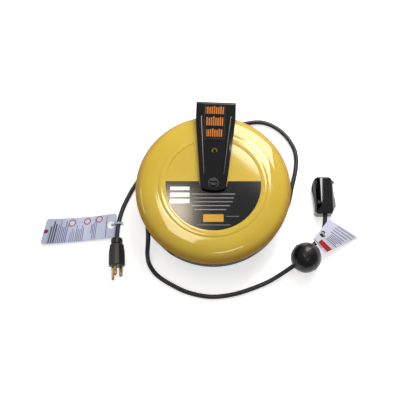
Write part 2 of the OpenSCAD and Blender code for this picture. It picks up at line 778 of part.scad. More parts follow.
module brush_springs() {
    color(steel) rotate([0, 0, brush_a]) for (r = ring_radii)
        translate([r + 2.2, 0, inside_z + 1]) difference() {
            cylinder(r = 2, h = 2.6);
            translate([0, 0, -1]) cylinder(r = 1.3, h = 5);
        }
}

// ---------- drum ----------

module drum_hub() {
    color(zinc) difference() {
        union() {
            ring(bush_r, hub_r, channel_z, web_t);
            ring(hub_r - hub_t, hub_r, channel_z, channel_w - hub_cover_t);
            ring(bush_r, boss_r, channel_z, rear_boss_h);
        }
        at_angles([for (i = [0:drum_rivet_n - 1]) i * 360 / drum_rivet_n])
            translate([drum_rivet_at, 0, channel_z - 1]) cylinder(r = rivet_r + 0.05, h = web_t + 2);
        at_angles([30, 150, 270]) translate([45, 0, channel_z - 1]) cylinder(r = 8, h = web_t + 2);
    }
}

module hub_cover() {
    color(zinc) difference() {
        union() {
            ring(bush_r, hub_r, channel_top - hub_cover_t, hub_cover_t);
            ring(bush_r, boss_r, channel_top - front_boss_h, front_boss_h);
        }
        at_angles([for (i = [0:drum_rivet_n - 1]) i * 360 / drum_rivet_n])
            translate([drum_rivet_at, 0, channel_top - 5]) cylinder(r = rivet_r + 0.05, h = 10);
    }
}

// Disc flange with a rolled rim and rivet holes, facing up or down
module drum_flange(z, bore, rim_side) {
    color(steel) difference() {
        union() {
            ring(bore, flange_r, z, flange_t);
            ring(flange_r - 1.5, flange_r, rim_side > 0 ? z : z - 1.5, flange_t + 1.5);
        }
        at_angles([for (i = [0:drum_rivet_n - 1]) i * 360 / drum_rivet_n])
            translate([drum_rivet_at, 0, z - 1]) cylinder(r = rivet_r + 0.05, h = flange_t + 2);
    }
}

module drum_rear_flange() drum_flange(drum_back_z, bush_r + 4, -1);

module drum_front_flange() drum_flange(channel_top, bush_r + 4, 1);

module drum_rivets() {
    heads = 1;
    color(zinc) at_angles([for (i = [0:drum_rivet_n - 1]) i * 360 / drum_rivet_n])
        translate([drum_rivet_at, 0, 0]) {
            translate([0, 0, drum_back_z]) cylinder(r = rivet_r, h = flange_t + web_t);
            translate([0, 0, drum_back_z - heads])
                cylinder(r1 = rivet_head_r - 1, r2 = rivet_head_r, h = heads);
            translate([0, 0, channel_z + web_t])
                cylinder(r1 = rivet_head_r, r2 = rivet_head_r - 1, h = heads);
            translate([0, 0, channel_top - hub_cover_t]) cylinder(r = rivet_r, h = hub_cover_t + flange_t);
            translate([0, 0, front_flange_top])
                cylinder(r1 = rivet_head_r, r2 = rivet_head_r - 1, h = heads);
            translate([0, 0, channel_top - hub_cover_t - heads])
                cylinder(r1 = rivet_head_r - 1, r2 = rivet_head_r, h = heads);
        }
}

module hub_bushes() {
    color("#A8793A") {
        ring(axle_r + bearing_gap, bush_r, drum_back_z, rear_boss_h + flange_t);
        ring(axle_r + bearing_gap, bush_r, channel_top - front_boss_h, front_boss_h + flange_t);
    }
}

// Insulating disc on the back of the drum that carries the slip rings
module slip_ring_carrier() {
    color(phenolic) difference() {
        ring(bush_r + 4, carrier_r, drum_back_z - carrier_t, carrier_t);
        for (r = ring_radii) ring(r, r + ring_w, drum_back_z - carrier_t - 1, 1 + 0.6);
    }
}

module slip_rings() {
    color(brass) for (r = ring_radii) ring(r, r + ring_w, drum_back_z - carrier_t + 0.6 - ring_t, ring_t);
}

// Saw teeth: each rises at once to the tip and falls slowly to the root
function ratchet_points() = [for (i = [0:tooth_n - 1]) for (k = [0:4])
    let (pitch = 360 / tooth_n, a = i * pitch + k * pitch / 4, r = ratchet_r - tooth_h * k / 4)
    [r * cos(a), r * sin(a)]];

module ratchet_ring() {
    color(steel) translate([0, 0, front_flange_top]) linear_extrude(ratchet_t) difference() {
        polygon(ratchet_points());
        circle(bush_r + 12);
    }
}

// Flat spiral spring inside the hub; its inner hook runs round the axle
function spiral(r0, r1, turns, steps, offset) = [for (i = [0:turns * steps])
    let (t = i / (turns * steps), r = r0 + (r1 - r0) * t + offset, a = 360 * turns * t)
    [r * cos(a), r * sin(a)]];

module power_spring() {
    inner = axle_r + spring_t / 2 + 0.4;
    outer = hub_r - hub_t - spring_t / 2 - 0.1;
    color("#5A6068") translate([0, 0, spring_z]) linear_extrude(spring_w) polygon(concat(
        spiral(inner, outer, spring_turns, 24, -spring_t / 2),
        reversed(spiral(inner, outer, spring_turns, 24, spring_t / 2))
    ));
}

// Inner layers of the cord on the hub, with the scallops of the turns
module wound_cord_core() {
    color(black_rubber) difference() {
        ring(hub_r + 0.05, core_r, channel_z + 0.3, channel_w - 0.6);
        for (i = [0:wound_turns])
            translate([0, 0, channel_z + channel_w / 2 + (i - wound_turns / 2) * wound_pitch])
                rotate_extrude() translate([core_r + 0.6, 0]) circle(1.6, $fn = 16);
    }
}

wound_path = [for (i = [0:wound_turns * wound_steps])
    let (t = i / wound_steps, a = feed_a - 360 * t)
    [wound_r * cos(a), wound_r * sin(a), channel_z + channel_w / 2 + (t - wound_turns / 2) * wound_pitch]];

// Least distance between turns, skin to skin, on the points one turn apart
wound_gap = min([for (i = [0:len(wound_path) - wound_steps - 1])
    norm(wound_path[i + wound_steps] - wound_path[i]) - cord_d]);
echo(wound_gap = wound_gap);

// Outer layer of the cord, one unbroken tube
module wound_cord_layer() {
    color(black_rubber) tube(wound_path, cord_d / 2, wound_sides);
}

// ---------- pawl ----------

module pawl_pin() {
    color(zinc) translate([pawl_at[0], pawl_at[1], 0]) {
        translate([0, 0, pawl_z - 0.3]) cylinder(r = pawl_pin_r, h = ceiling_z - pawl_z + 0.3);
        translate([0, 0, pawl_z - 0.8]) cylinder(r = pawl_pin_r + 1.8, h = 0.6);
        translate([0, 0, ceiling_z - 1.2]) cylinder(r = pawl_pin_r + 3, h = 1.2);
    }
}

module pawl() {
    nose_in = ratchet_r - tooth_h + 2;
    color(steel) translate([0, 0, pawl_z]) difference() {
        union() {
            translate([pawl_at[0], pawl_at[1], 0]) cylinder(r = 6, h = pawl_t);
            linear_extrude(pawl_t) polygon([
                [nose_in, -pawl_gap - pawl_rake], [ratchet_r + 2, -pawl_gap], [ratchet_r + 5.5, -8],
                [pawl_at[0] + 5, pawl_at[1] + 2], [pawl_at[0] - 5, pawl_at[1] + 2], [ratchet_r - 1, -15],
                [nose_in + 0.3, -4.4]
            ]);
        }
        translate([pawl_at[0], pawl_at[1], -1]) cylinder(r = pawl_pin_r + bearing_gap, h = pawl_t + 2);
    }
}

// Torsion spring on the pin, over the pawl
module pawl_spring() {
    color(steel) translate([pawl_at[0], pawl_at[1], pawl_z + pawl_t + 0.1]) {
        ring(pawl_pin_r + 0.3, pawl_pin_r + 1.3, 0, 1);
        translate([pawl_pin_r + 0.3, 0, 0]) cube([1, 16, 1]);
        rotate([0, 0, 115]) translate([pawl_pin_r + 0.3, -14, 0]) cube([1, 14, 1]);
    }
}

// ---------- cords, plug and tags ----------

module cord_feed() {
    color(black_rubber) rod(feed_from, output_route[0], cord_d / 2);
}

module supply_cord() {
    color(black_rubber) tube(smooth(supply_route, 2), cord_d / 2, cord_sides);
}

module output_cord() {
    color(black_rubber) tube(smooth(output_route, 2), cord_d / 2, cord_sides);
}

// Places children at the plug: the origin is the cord end, +Y points to the blades
module at_plug() {
    translate(plug_at) rotate([0, 0, plug_a]) rotate([0, plug_roll, 0]) children();
}

// Room between one pair of sides of the plug: narrow at the shoulder, wider towards the face
module plug_slab(angle, back_w, face_w) {
    half = [
        [back_w / 2 - 1.2, plug_neck_l], [back_w / 2, plug_neck_l + 1.2],
        [back_w / 2 + 0.2, plug_neck_l + 5], [face_w / 2 - 0.3, plug_neck_l + 13],
        [face_w / 2, plug_l - 1.2], [face_w / 2 - 1.2, plug_l]
    ];
    rotate([0, angle, 0]) linear_extrude(2 * plug_w, center = true)
        polygon(concat(half, reversed([for (p = half) [-p[0], p[1]]])));
}

// Round neck that grips the cord, then a square body with four narrow sides at its corners
module plug_body() {
    round_r = 4;
    color(black_rubber) at_plug() union() {
        rotate([-90, 0, 0]) rotate_extrude() polygon(concat(
            [[0, 0]],
            [for (a = [0:15:90]) [plug_neck_r - round_r + round_r * sin(a), round_r - round_r * cos(a)]],
            [[plug_neck_r, plug_neck_l - 2], [plug_neck_r - 0.8, plug_neck_l - 1.2],
             [plug_neck_r - 0.8, plug_neck_l + 1], [0, plug_neck_l + 1]]
        ));
        intersection() {
            plug_slab(0, plug_flat_back_w, plug_flat_w);
            plug_slab(90, plug_flat_back_w, plug_flat_w);
            plug_slab(45, plug_back_w, plug_w);
            plug_slab(135, plug_back_w, plug_w);
        }
    }
}

module plug_blades() {
    color(brass) at_plug() for (s = [-1, 1]) difference() {
        translate([blade_x - blade_w / 2, plug_l, s * blade_gap / 2 - blade_t / 2]) union() {
            cube([blade_w, blade_l - 1.5, blade_t]);
            translate([0.8, 0, 0.25]) cube([blade_w - 1.6, blade_l, blade_t - 0.5]);
        }
        translate([blade_x, plug_l + blade_l - 5, -20]) cylinder(r = 1.6, h = 40);
    }
}

module plug_ground_pin() {
    color(brass) at_plug() translate([ground_x, plug_l, 0]) rotate([-90, 0, 0]) {
        cylinder(r = ground_r, h = ground_l - 2);
        translate([0, 0, ground_l - 2]) cylinder(r1 = ground_r, r2 = ground_r - 1.4, h = 2);
    }
}

// Point of a thin sheet between four corners, with a wave along it and a curl at its third corner
function sheet_point(c, wave, curl, u, v) =
    (1 - u) * ((1 - v) * c[0] + v * c[1]) + u * ((1 - v) * c[3] + v * c[2])
    + [0, 0, wave * sin(180 * u) * (1 + 0.3 * cos(180 * v)) + curl * u * u * v * v];

module sheet(c, wave, curl) {
    nu = 12;
    nv = 4;
    row = nv + 1;
    count = (nu + 1) * row;
    low = [for (i = [0:nu]) for (j = [0:nv]) sheet_point(c, wave, curl, i / nu, j / nv)];
    points = concat(low, [for (p = low) p + [0, 0, tag_t]]);
    low_faces = [for (i = [0:nu - 1]) for (j = [0:nv - 1]) let (a = i * row + j, b = a + row)
        for (f = [[a, b + 1, a + 1], [a, b, b + 1]]) f];
    high_faces = [for (f = low_faces) [f[2] + count, f[1] + count, f[0] + count]];
    rim = concat([for (j = [0:nv]) j], [for (i = [1:nu]) i * row + nv],
        [for (j = [nv - 1:-1:0]) nu * row + j], [for (i = [nu - 1:-1:1]) i * row]);
    edge = [for (k = [0:len(rim) - 1]) let (a = rim[k], b = rim[(k + 1) % len(rim)])
        for (f = [[a, b, b + count], [a, b + count, a + count]]) f];
    polyhedron(points, concat(low_faces, high_faces, edge));
}

// Upright space over the outline of a tag, with rounded corners
module tag_outline(corners, r) {
    linear_extrude(60, center = true) offset(r = r) offset(delta = -r - 0.2)
        polygon([for (c = corners) [c[0], c[1]]]);
}

module supply_tag() {
    color(paper_white) difference() {
        intersection() {
            sheet(supply_tag_corners, -5, 0);
            tag_outline(supply_tag_corners, 4);
        }
        translate([supply_tag_hole[0], supply_tag_hole[1], -5]) cylinder(r = tag_hole_r, h = 40);
    }
}

module output_tag() {
    color(paper_white) difference() {
        intersection() {
            sheet(output_tag_corners, 1.5, 3);
            tag_outline(output_tag_corners, 1.5);
        }
        translate([output_tag_hole[0], output_tag_hole[1], 0]) cylinder(r = tag_hole_r - 0.5, h = 60);
    }
}

// Strap that closes round the cord and passes through the hole of a tag
module tie(at, turn, reach) {
    color(paper_white) translate(at) rotate([90, 0, turn]) {
        linear_extrude(3, center = true) difference() {
            hull() {
                circle(cord_d / 2 + 1.8, $fn = 32);
                translate(reach) circle(2, $fn = 16);
            }
            hull() {
                circle(cord_d / 2 + 0.6, $fn = 32);
                translate(reach) circle(0.9, $fn = 16);
            }
        }
        translate([cord_d / 2 + 0.6, -2, -2.2]) cube([3.4, 4, 4.4]);
    }
}

module supply_tag_tie() tie(supply_tie_at, 5, [-11, -5]);

module output_tag_tie() tie(output_tie_at, -35, [0, 10]);

// ---------- ball stop ----------

// Places children in the frame of the ball: the seam is the plane z = 0, both cord ports lie in it
module at_ball() {
    normal = unit(cross(ball_out, ball_in));
    along = unit(unit(ball_out) - unit(ball_in));
    side = cross(normal, along);
    multmatrix([
        [along[0], side[0], normal[0], ball_at[0]],
        [along[1], side[1], normal[1], ball_at[1]],
        [along[2], side[2], normal[2], ball_at[2]],
        [0, 0, 0, 1]
    ]) children();
}

// Outside of the ball, with two low ribs that cross at the top
module ball_form() {
    translate(ball_at) {
        sphere(ball_r, $fn = 48);
        rotate([90, 0, ball_rib_a]) ring(ball_r - 2, ball_r + ball_rib, -ball_rib_w / 2, ball_rib_w);
        rotate([90, 0, ball_rib_a + 90]) ring(ball_r - 2, ball_r + 0.75 * ball_rib, -1.4, 2.8);
    }
}

// One half of the ball: hollow, with a seam band, screw bosses and half of each port
module ball_half(sign) {
    color(black_rubber) difference() {
        union() {
            intersection() {
                difference() {
                    ball_form();
                    translate(ball_at) sphere(ball_r - ball_t, $fn = 48);
                }
                at_ball() translate([-40, -40, sign > 0 ? 0 : -80]) cube([80, 80, 80]);
            }
            at_ball() ring(ball_r - 2, ball_r + ball_rib / 2, sign > 0 ? 0 : -1.5, 1.5);
            at_ball() intersection() {
                sphere(ball_r - ball_t / 2, $fn = 48);
                for (s = [-1, 1]) translate([0, s * ball_screw_at, sign > 0 ? 0 : -ball_r])
                    cylinder(r = 4.5, h = ball_r);
            }
        }
        at_ball() for (s = [-1, 1]) translate([0, s * ball_screw_at, sign > 0 ? -1 : -14]) {
            cylinder(r = 1.6, h = 15);
            if (sign < 0) translate([0, 0, -23.95]) cylinder(r = 3.4, h = 30);
        }
        rod(ball_at, ball_at + 2 * ball_in, port_r);
        rod(ball_at, ball_at + 2 * ball_out, port_r);
    }
}

module stop_ball_upper() ball_half(1);

module stop_ball_lower() ball_half(-1);

module stop_ball_screws() {
    color(zinc) at_ball() for (s = [-1, 1]) translate([0, s * ball_screw_at, 0]) {
        translate([0, 0, -8.2]) cylinder(r = 1.5, h = 20.2);
        difference() {
            translate([0, 0, -10]) cylinder(r = 3, h = 2);
            translate([-4, -0.5, -12]) cube([8, 1, 3]);
        }
    }
}

// ---------- connector ----------

// Places children at the connector: the origin is below the cord entry, +Y points to the face
module at_connector() {
    translate([conn_at[0], conn_at[1], 0]) rotate([0, 0, conn_a]) children();
}

// Outside of the connector: its plan, its faceted cross-section and its side view
module connector_form() {
    w = conn_w / 2;
    c = conn_chamfer;
    intersection() {
        linear_extrude(conn_h) translate([conn_mid, 0]) polygon([
            [-w + 5, 0], [w - 4, 0], [w, 7.6], [w + 3.9, 12.6], [w + 4, 15], [w + 3.4, 26], [w + 1, 29],
            [w + 0.4, 43], [w + 0.2, conn_l - 12], [w - 0.5, conn_l - 6], [w - 3, conn_l - 3],
            [w - 7.5, conn_l], [-w + 8, conn_l], [-w + 4.5, conn_l - 1], [-w + 1.3, conn_l - 4.5],
            [-w - 1, conn_l - 13], [-w - 1, 43], [-w + 0.9, 29], [-w + 2, 16], [-w + 2, 4]
        ]);
        translate([conn_mid, conn_l + 1, 0]) rotate([90, 0, 0]) linear_extrude(conn_l + 2) polygon([
            [-w + 3, 0], [w - 2, 0], [w + 4.5, 6], [w + 4.5, 16], [w - 2, conn_h - 3], [w - 8, conn_h],
            [-w + c + 5.5, conn_h], [-w + c - 2, conn_h - 6], [-w - 2, 13], [-w - 2, 6]
        ]);
        rotate([90, 0, 90]) translate([0, 0, -40]) linear_extrude(80) polygon([
            [0, 4], [7, 0], [conn_l, 0], [conn_l, conn_h - 3], [conn_l - 3, conn_h], [12, conn_h],
            [0, conn_h - 7]
        ]);
    }
}

module connector_cavity() {
    translate([conn_mid - conn_cavity_w / 2, 24, conn_split - conn_cavity_h / 2])
        cube([conn_cavity_w, conn_l, conn_cavity_h]);
    translate([0, -1, conn_at[2]]) rotate([-90, 0, 0]) cylinder(r = cord_d / 2 + 0.2, h = 30);
}

module connector_lower() {
    color(black_rubber) at_connector() difference() {
        intersection() {
            connector_form();
            translate([-50, -10, -1]) cube([100, 100, conn_split + 1]);
        }
        connector_cavity();
    }
}

module connector_upper() {
    color(black_rubber) at_connector() difference() {
        union() {
            intersection() {
                connector_form();
                translate([-50, -10, conn_split]) cube([100, 100, 60]);
            }
            translate([conn_mid + conn_w / 2 - 4, conn_l - 9.5, conn_split]) cube([6.4, 4.5, 6]);
        }
        connector_cavity();
        translate(conn_screw) cylinder(r = 3.2, h = 20);
    }
}

// Insulating insert with the three slots of a grounded outlet
module connector_face() {
    w = conn_cavity_w - 0.2;
    h = conn_cavity_h - 0.2;
    back = conn_l - 1 - conn_face_l;
    color(black_nylon) at_connector() translate([conn_mid, back, conn_split]) difference() {
        translate([-w / 2, 0, -h / 2]) cube([w, conn_face_l, h]);
        for (s = [-1, 1]) translate([s * blade_gap / 2 - 1.1, -1, -1]) cube([2.2, conn_face_l + 2, 7.6]);
        translate([0, -1, -6.2]) rotate([-90, 0, 0]) cylinder(r = 2.6, h = conn_face_l + 2);
    }
}

module connector_contacts() {
    color(brass) at_connector() translate([conn_mid, conn_l - 1 - conn_face_l - 12.2, conn_split]) {
        for (s = [-1, 1]) translate([s * blade_gap / 2 - 2, 0, -1]) difference() {
            cube([4, 12, 7]);
            translate([1.2, 3, -1]) cube([1.6, 10, 9]);
        }
        translate([0, 0, -6.2]) rotate([-90, 0, 0]) difference() {
            cylinder(r = 3.2, h = 12);
            translate([0, 0, 3]) cylinder(r = 2.4, h = 10);
        }
    }
}

module connector_screws() {
    color(zinc) at_connector() translate(conn_screw) difference() {
        cylinder(r = 3, h = 2.2);
        translate([-4, -0.5, 1.2]) cube([8, 1, 3]);
        translate([-0.5, -4, 1.2]) cube([1, 8, 3]);
    }
}

front_cover();
rear_cover();
cover_screws();
cord_guide();
label();
centre_shaft();
flange_rivets();
front_nut();
thrust_washers();
retaining_ring();
terminal_plate();
terminal_cap();
cap_screws();
terminal_block();
strain_relief();
brush_holder();
brushes();
brush_springs();
pawl_pin();
supply_cord();
plug_body();
plug_blades();
plug_ground_pin();
supply_tag();
supply_tag_tie();
cord_feed();
output_cord();
stop_ball_upper();
stop_ball_lower();
stop_ball_screws();
connector_lower();
connector_upper();
connector_face();
connector_contacts();
connector_screws();
output_tag();
output_tag_tie();
swivel_bracket();
bracket_bushes();
drum_hub();
hub_cover();
drum_rear_flange();
drum_front_flange();
drum_rivets();
hub_bushes();
slip_ring_carrier();
slip_rings();
ratchet_ring();
power_spring();
wound_cord_core();
wound_cord_layer();
pawl();
pawl_spring();
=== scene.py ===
# %% [markdown]
# # A spring-return extension cord reel
# The reel lies on its back on a pale floor, with its two leads, plug, ball stop and connector
# spread round it. The CAD model brings every solid in its place; this lesson gives the parts
# that show a finer skin, and every part a finish made from shader nodes.

# %% Load the frame
import math

import bmesh
import bpy
from mathutils import Matrix, Vector


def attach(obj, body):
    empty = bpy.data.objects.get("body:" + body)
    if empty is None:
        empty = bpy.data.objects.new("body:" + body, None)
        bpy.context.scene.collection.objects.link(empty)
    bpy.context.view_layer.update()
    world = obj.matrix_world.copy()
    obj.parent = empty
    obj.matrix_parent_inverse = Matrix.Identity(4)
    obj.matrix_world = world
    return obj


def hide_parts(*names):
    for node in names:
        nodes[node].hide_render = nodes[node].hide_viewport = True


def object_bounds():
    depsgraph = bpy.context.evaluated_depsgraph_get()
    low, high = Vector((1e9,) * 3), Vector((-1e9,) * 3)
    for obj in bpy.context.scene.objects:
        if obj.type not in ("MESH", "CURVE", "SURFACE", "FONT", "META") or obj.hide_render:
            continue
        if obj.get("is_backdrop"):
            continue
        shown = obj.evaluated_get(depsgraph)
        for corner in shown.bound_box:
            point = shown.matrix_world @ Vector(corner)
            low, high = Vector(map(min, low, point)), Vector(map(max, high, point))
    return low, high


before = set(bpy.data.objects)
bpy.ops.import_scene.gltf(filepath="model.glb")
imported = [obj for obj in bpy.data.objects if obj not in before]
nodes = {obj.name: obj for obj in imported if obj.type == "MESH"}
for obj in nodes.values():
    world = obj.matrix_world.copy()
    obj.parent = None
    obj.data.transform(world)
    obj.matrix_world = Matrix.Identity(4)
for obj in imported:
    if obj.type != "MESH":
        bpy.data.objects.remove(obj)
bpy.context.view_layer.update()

MM = 0.001
print("CAD nodes:", len(nodes))

# %% [markdown]
# ## The camera
# A camera high over the floor looks down at the reel, as a catalogue picture of a tool does.
# Its place is written as the point it looks at, a direction and a distance, so each of the
# three can be changed alone. It is also rolled a little, which turns its right-hand direction.

# %% Camera
LOOK_AT = Vector((-21.05, 0.79, 0)) * MM
TO_CAMERA = Vector((0.01212, -0.31541, 0.94888)).normalized()
CAMERA_DISTANCE = 1.5
CAMERA_ROLL = math.radians(2.2)
CAMERA_LENS, CAMERA_SENSOR = 81.19, 36

camera_data = bpy.data.cameras.new("studio_camera")
camera_data.sensor_width = CAMERA_SENSOR
camera_data.lens = CAMERA_LENS
camera = bpy.data.objects.new("studio_camera", camera_data)
right = Vector((math.cos(CAMERA_ROLL), math.sin(CAMERA_ROLL), 0))
right = (right - right.dot(TO_CAMERA) * TO_CAMERA).normalized()
up = TO_CAMERA.cross(right)
turn = Matrix((right, up, TO_CAMERA)).transposed().to_4x4()
camera.matrix_world = Matrix.Translation(LOOK_AT + TO_CAMERA * CAMERA_DISTANCE) @ turn
bpy.context.scene.collection.objects.link(camera)
bpy.context.scene.camera = camera
print("camera at", [round(x, 3) for x in camera.matrix_world.translation])

# %% [markdown]
# ## Mesh helpers
# A mesh is made from a list of points and faces, from a profile turned round the axle, or by
# cutting one mesh with others. Each way gives a plain mesh object at the origin, with its
# points where the part is, so that it drops straight on to the frame.


# %% Points, faces and smooth shading
def mesh_object(name, points, faces, sharp=30):
    """A mesh from points in metres; edges sharper than an angle stay crisp."""
    mesh = bpy.data.meshes.new(name)
    mesh.from_pydata([tuple(p) for p in points], [], faces)
    work = bmesh.new()
    work.from_mesh(mesh)
    bmesh.ops.recalc_face_normals(work, faces=work.faces)
    work.to_mesh(mesh)
    work.free()
    made = bpy.data.objects.new(name, mesh)
    bpy.context.scene.collection.objects.link(made)
    return soften(made, sharp)


def soften(piece, sharp=30):
    """Smooth shading, with a crease at each edge sharper than an angle in degrees."""
    mesh = piece.data
    mesh.polygons.foreach_set("use_smooth", [True] * len(mesh.polygons))
    mesh.set_sharp_from_angle(angle=math.radians(sharp))
    mesh.update()
    return piece


# %% A profile turned round the axle
def skin_faces(sections, count, closed=False):
    """Faces that join the sections of a skin, and in a closed one also the last to the first."""
    return [(i * count + k, i * count + (k + 1) % count,
             (i + 1) % sections * count + (k + 1) % count, (i + 1) % sections * count + k)
            for i in range(sections if closed else sections - 1) for k in range(count)]


def lathe(name, profile, sides, sharp=30):
    """A closed profile of (radius, height) points in millimetres, turned round the Z axis."""
    points = []
    for i in range(sides):
        a = 2 * math.pi * i / sides
        points += [(r * math.cos(a) * MM, r * math.sin(a) * MM, z * MM) for r, z in profile]
    return mesh_object(name, points, skin_faces(sides, len(profile), closed=True), sharp)


# %% Cutting one mesh with others
def apply_modifiers(piece):
    """Leaves a piece as the plain mesh that its modifiers make of it."""
    bpy.context.view_layer.update()
    shown = piece.evaluated_get(bpy.context.evaluated_depsgraph_get())
    result = bpy.data.meshes.new_from_object(shown)
    piece.modifiers.clear()
    piece.data = result


def carve(piece, cutters, operation="DIFFERENCE", sharp=30):
    """Cuts, keeps or adds the space of other meshes, and leaves a plain mesh."""
    for cutter in cutters:
        step = piece.modifiers.new("carve", "BOOLEAN")
        step.operation = operation
        step.solver = "EXACT"
        step.object = cutter
    apply_modifiers(piece)
    for cutter in cutters:
        bpy.data.objects.remove(cutter)
    return soften(piece, sharp)


def box(x0, x1, y0, y1, z0, z1, place=Matrix.Identity(4)):
    """A cutter with flat sides, in millimetres, put in place by a matrix in metres."""
    corners = [(x, y, z) for x in (x0, x1) for y in (y0, y1) for z in (z0, z1)]
    faces = [(0, 1, 3, 2), (4, 6, 7, 5), (0, 4, 5, 1), (2, 3, 7, 6), (0, 2, 6, 4), (1, 5, 7, 3)]
    return mesh_object("cutter", [place @ (Vector(c) * MM) for c in corners], faces)


def prism(outline, z0, z1, place=Matrix.Identity(4)):
    """A cutter or bar whose cross-section is a counterclockwise outline in millimetres."""
    n = len(outline)
    points = [place @ (Vector((x, y, z)) * MM) for z in (z0, z1) for x, y in outline]
    faces = [tuple(reversed(range(n))), tuple(range(n, 2 * n))]
    faces += [(i, (i + 1) % n, n + (i + 1) % n, n + i) for i in range(n)]
    return mesh_object("cutter", points, faces)


def circle(radius, sides=32, x=0, y=0):
    """The corners of a round outline, counterclockwise."""
    steps = [2 * math.pi * i / sides for i in range(sides)]
    return [(x + radius * math.cos(a), y + radius * math.sin(a)) for a in steps]


def turned(angle, axis="Z"):
    """A turn in degrees, as a matrix."""
    return Matrix.Rotation(math.radians(angle), 4, axis)


def shifted(x, y, z):
    """A shift in millimetres, as a matrix."""
    return Matrix.Translation(Vector((x, y, z)) * MM)


# %% [markdown]
# ## The two leads
# A lead is a fixed length of something stiff enough to lie in long curves. Its line is a
# smooth curve through points on the floor, in the order in which the lead leaves the reel:
# straight out of its opening, down to the floor, along it, and up again where the plug, the
# ball or the connector holds it off the floor. The route comes first because everything that
# hangs on a lead takes its place from it.

# %% Routes, from the reel outwards
CORD_RADIUS, CORD_SIDES = 3.7, 24
supply_route = [
    (63, -29, 6.5), (80, -36, 5.5), (98, -34, 3.8), (114, -22, 3.8), (125, -2, 3.8),
    (130.5, 26, 3.8), (134, 42, 3.8), (137, 59, 3.8), (138, 76, 3.8), (136, 91, 3.8),
    (130, 105, 3.8), (120, 119.5, 3.8), (106, 132, 3.8), (89, 140.5, 3.8), (71, 143, 3.8),
    (46, 138, 3.8), (10, 125, 3.8), (-36, 103, 3.8), (-80, 78, 3.8), (-112, 49, 3.8),
    (-131, 19, 3.8), (-140, 0, 4), (-145.8, -15, 5), (-149.5, -29, 7), (-151.8, -43, 9.5),
    (-153.1, -58, 12), (-153.4, -73.5, 13.3),
]
output_route = [
    (-101.6, -67.1, 47.7), (-100.9, -73.8, 47.2), (-100.3, -83.3, 45.3), (-100.6, -93.7, 40.2),
    (-101, -103.6, 31.3), (-99.2, -113.6, 18.3), (-93.4, -123, 9.6), (-82.6, -133.2, 4.4),
    (-61, -146, 3.8), (-32, -158, 3.8), (4, -163, 3.8), (41, -157, 3.8), (78, -143, 4),
    (104, -129.5, 7), (133.2, -110.7, 18), (151.5, -97.2, 23.4), (163.5, -77.5, 20.5),
    (172.3, -66.5, 15.5), (180, -55.5, 11.5), (184, -40, 11.5), (185.2, -22, 13),
]
# The first point lies on the rear cover; the shift that puts it there dies out along the lead
REAR_R, SHIFTED_POINTS = 121.6, 8
out_x, out_y = output_route[0][:2]
outward = REAR_R / math.hypot(out_x, out_y) - 1
shares = [max(0, 1 - i / SHIFTED_POINTS) * outward for i in range(len(output_route))]
output_route = [(x + share * out_x, y + share * out_y, z)
                for share, (x, y, z) in zip(shares, output_route)]


def curve_point(p0, p1, p2, p3, t):
    """A point between p1 and p2 on a curve that passes smoothly through all four."""
    bend = (2 * p0 - 5 * p1 + 4 * p2 - p3) * t * t + (3 * p1 - p0 - 3 * p2 + p3) * t ** 3
    return 0.5 * (2 * p1 + (p2 - p0) * t + bend)


def smooth_line(route, steps):
    """The curve through a route in millimetres, as points in metres."""
    given = [Vector(p) * MM for p in route]
    given = [2 * given[0] - given[1]] + given + [2 * given[-1] - given[-2]]
    line = [curve_point(*given[i:i + 4], k / steps)
            for i in range(len(given) - 3) for k in range(steps)]
    return line + [given[-2]]


def line_length(line):
    """The length of a line of points, in their own unit."""
    return sum((b - a).length for a, b in zip(line, line[1:]))


# %% A skin along a line
def swept(name, line, outline):
    """A cross-section carried along a line without twisting, and closed at both ends."""
    count = len(outline)
    heading = [(line[min(i + 1, len(line) - 1)] - line[max(i - 1, 0)]).normalized()
               for i in range(len(line))]
    across = heading[0].cross(Vector((0, 0, 1))).normalized()
    points = []
    for here, ahead in zip(line, heading):
        across = (across - across.dot(ahead) * ahead).normalized()
        over = across.cross(ahead)
        points += [here + (x * across + y * over) * MM for x, y in outline]
    last = len(points) - count
    ends = [tuple(reversed(range(count))), tuple(range(last, last + count))]
    return mesh_object(name, points, skin_faces(len(line), count) + ends)


ROUTE_STEPS = 8
supply_line = smooth_line(supply_route, ROUTE_STEPS)
output_line = smooth_line(output_route, ROUTE_STEPS)
print("supply lead", round(line_length(supply_line), 3), "m")
print("output lead", round(line_length(output_line), 3), "m")

# %% [markdown]
# ## Floor, background and lamps
# The reel lies in a white room. The floor is a stage piece, so it isn't part of the object. It
# keeps the shadow but adds a light of its own towards the camera and in reflections, which
# lifts it to white without lighting the reel. The lamps are flat soft panels, each placed
# where one highlight mirrors it: ceiling panels for the flat face, the label and the top of
# the connector, two panels behind the reel for the shoulder, and narrow ones at the left and
# in front for the crisp lines. Most have a twin that shows only in gloss.


# %% Arithmetic between shader nodes
def math_node(tree, operation, a, b=None, clamp=False):
    """A math node whose one or two inputs are numbers or other nodes' outputs."""
    made = tree.nodes.new("ShaderNodeMath")
    made.operation = operation
    made.use_clamp = clamp
    for i, value in enumerate((a,) if b is None else (a, b)):
        if isinstance(value, (int, float)):
            made.inputs[i].default_value = value
        else:
            tree.links.new(value, made.inputs[i])
    return made.outputs[0]


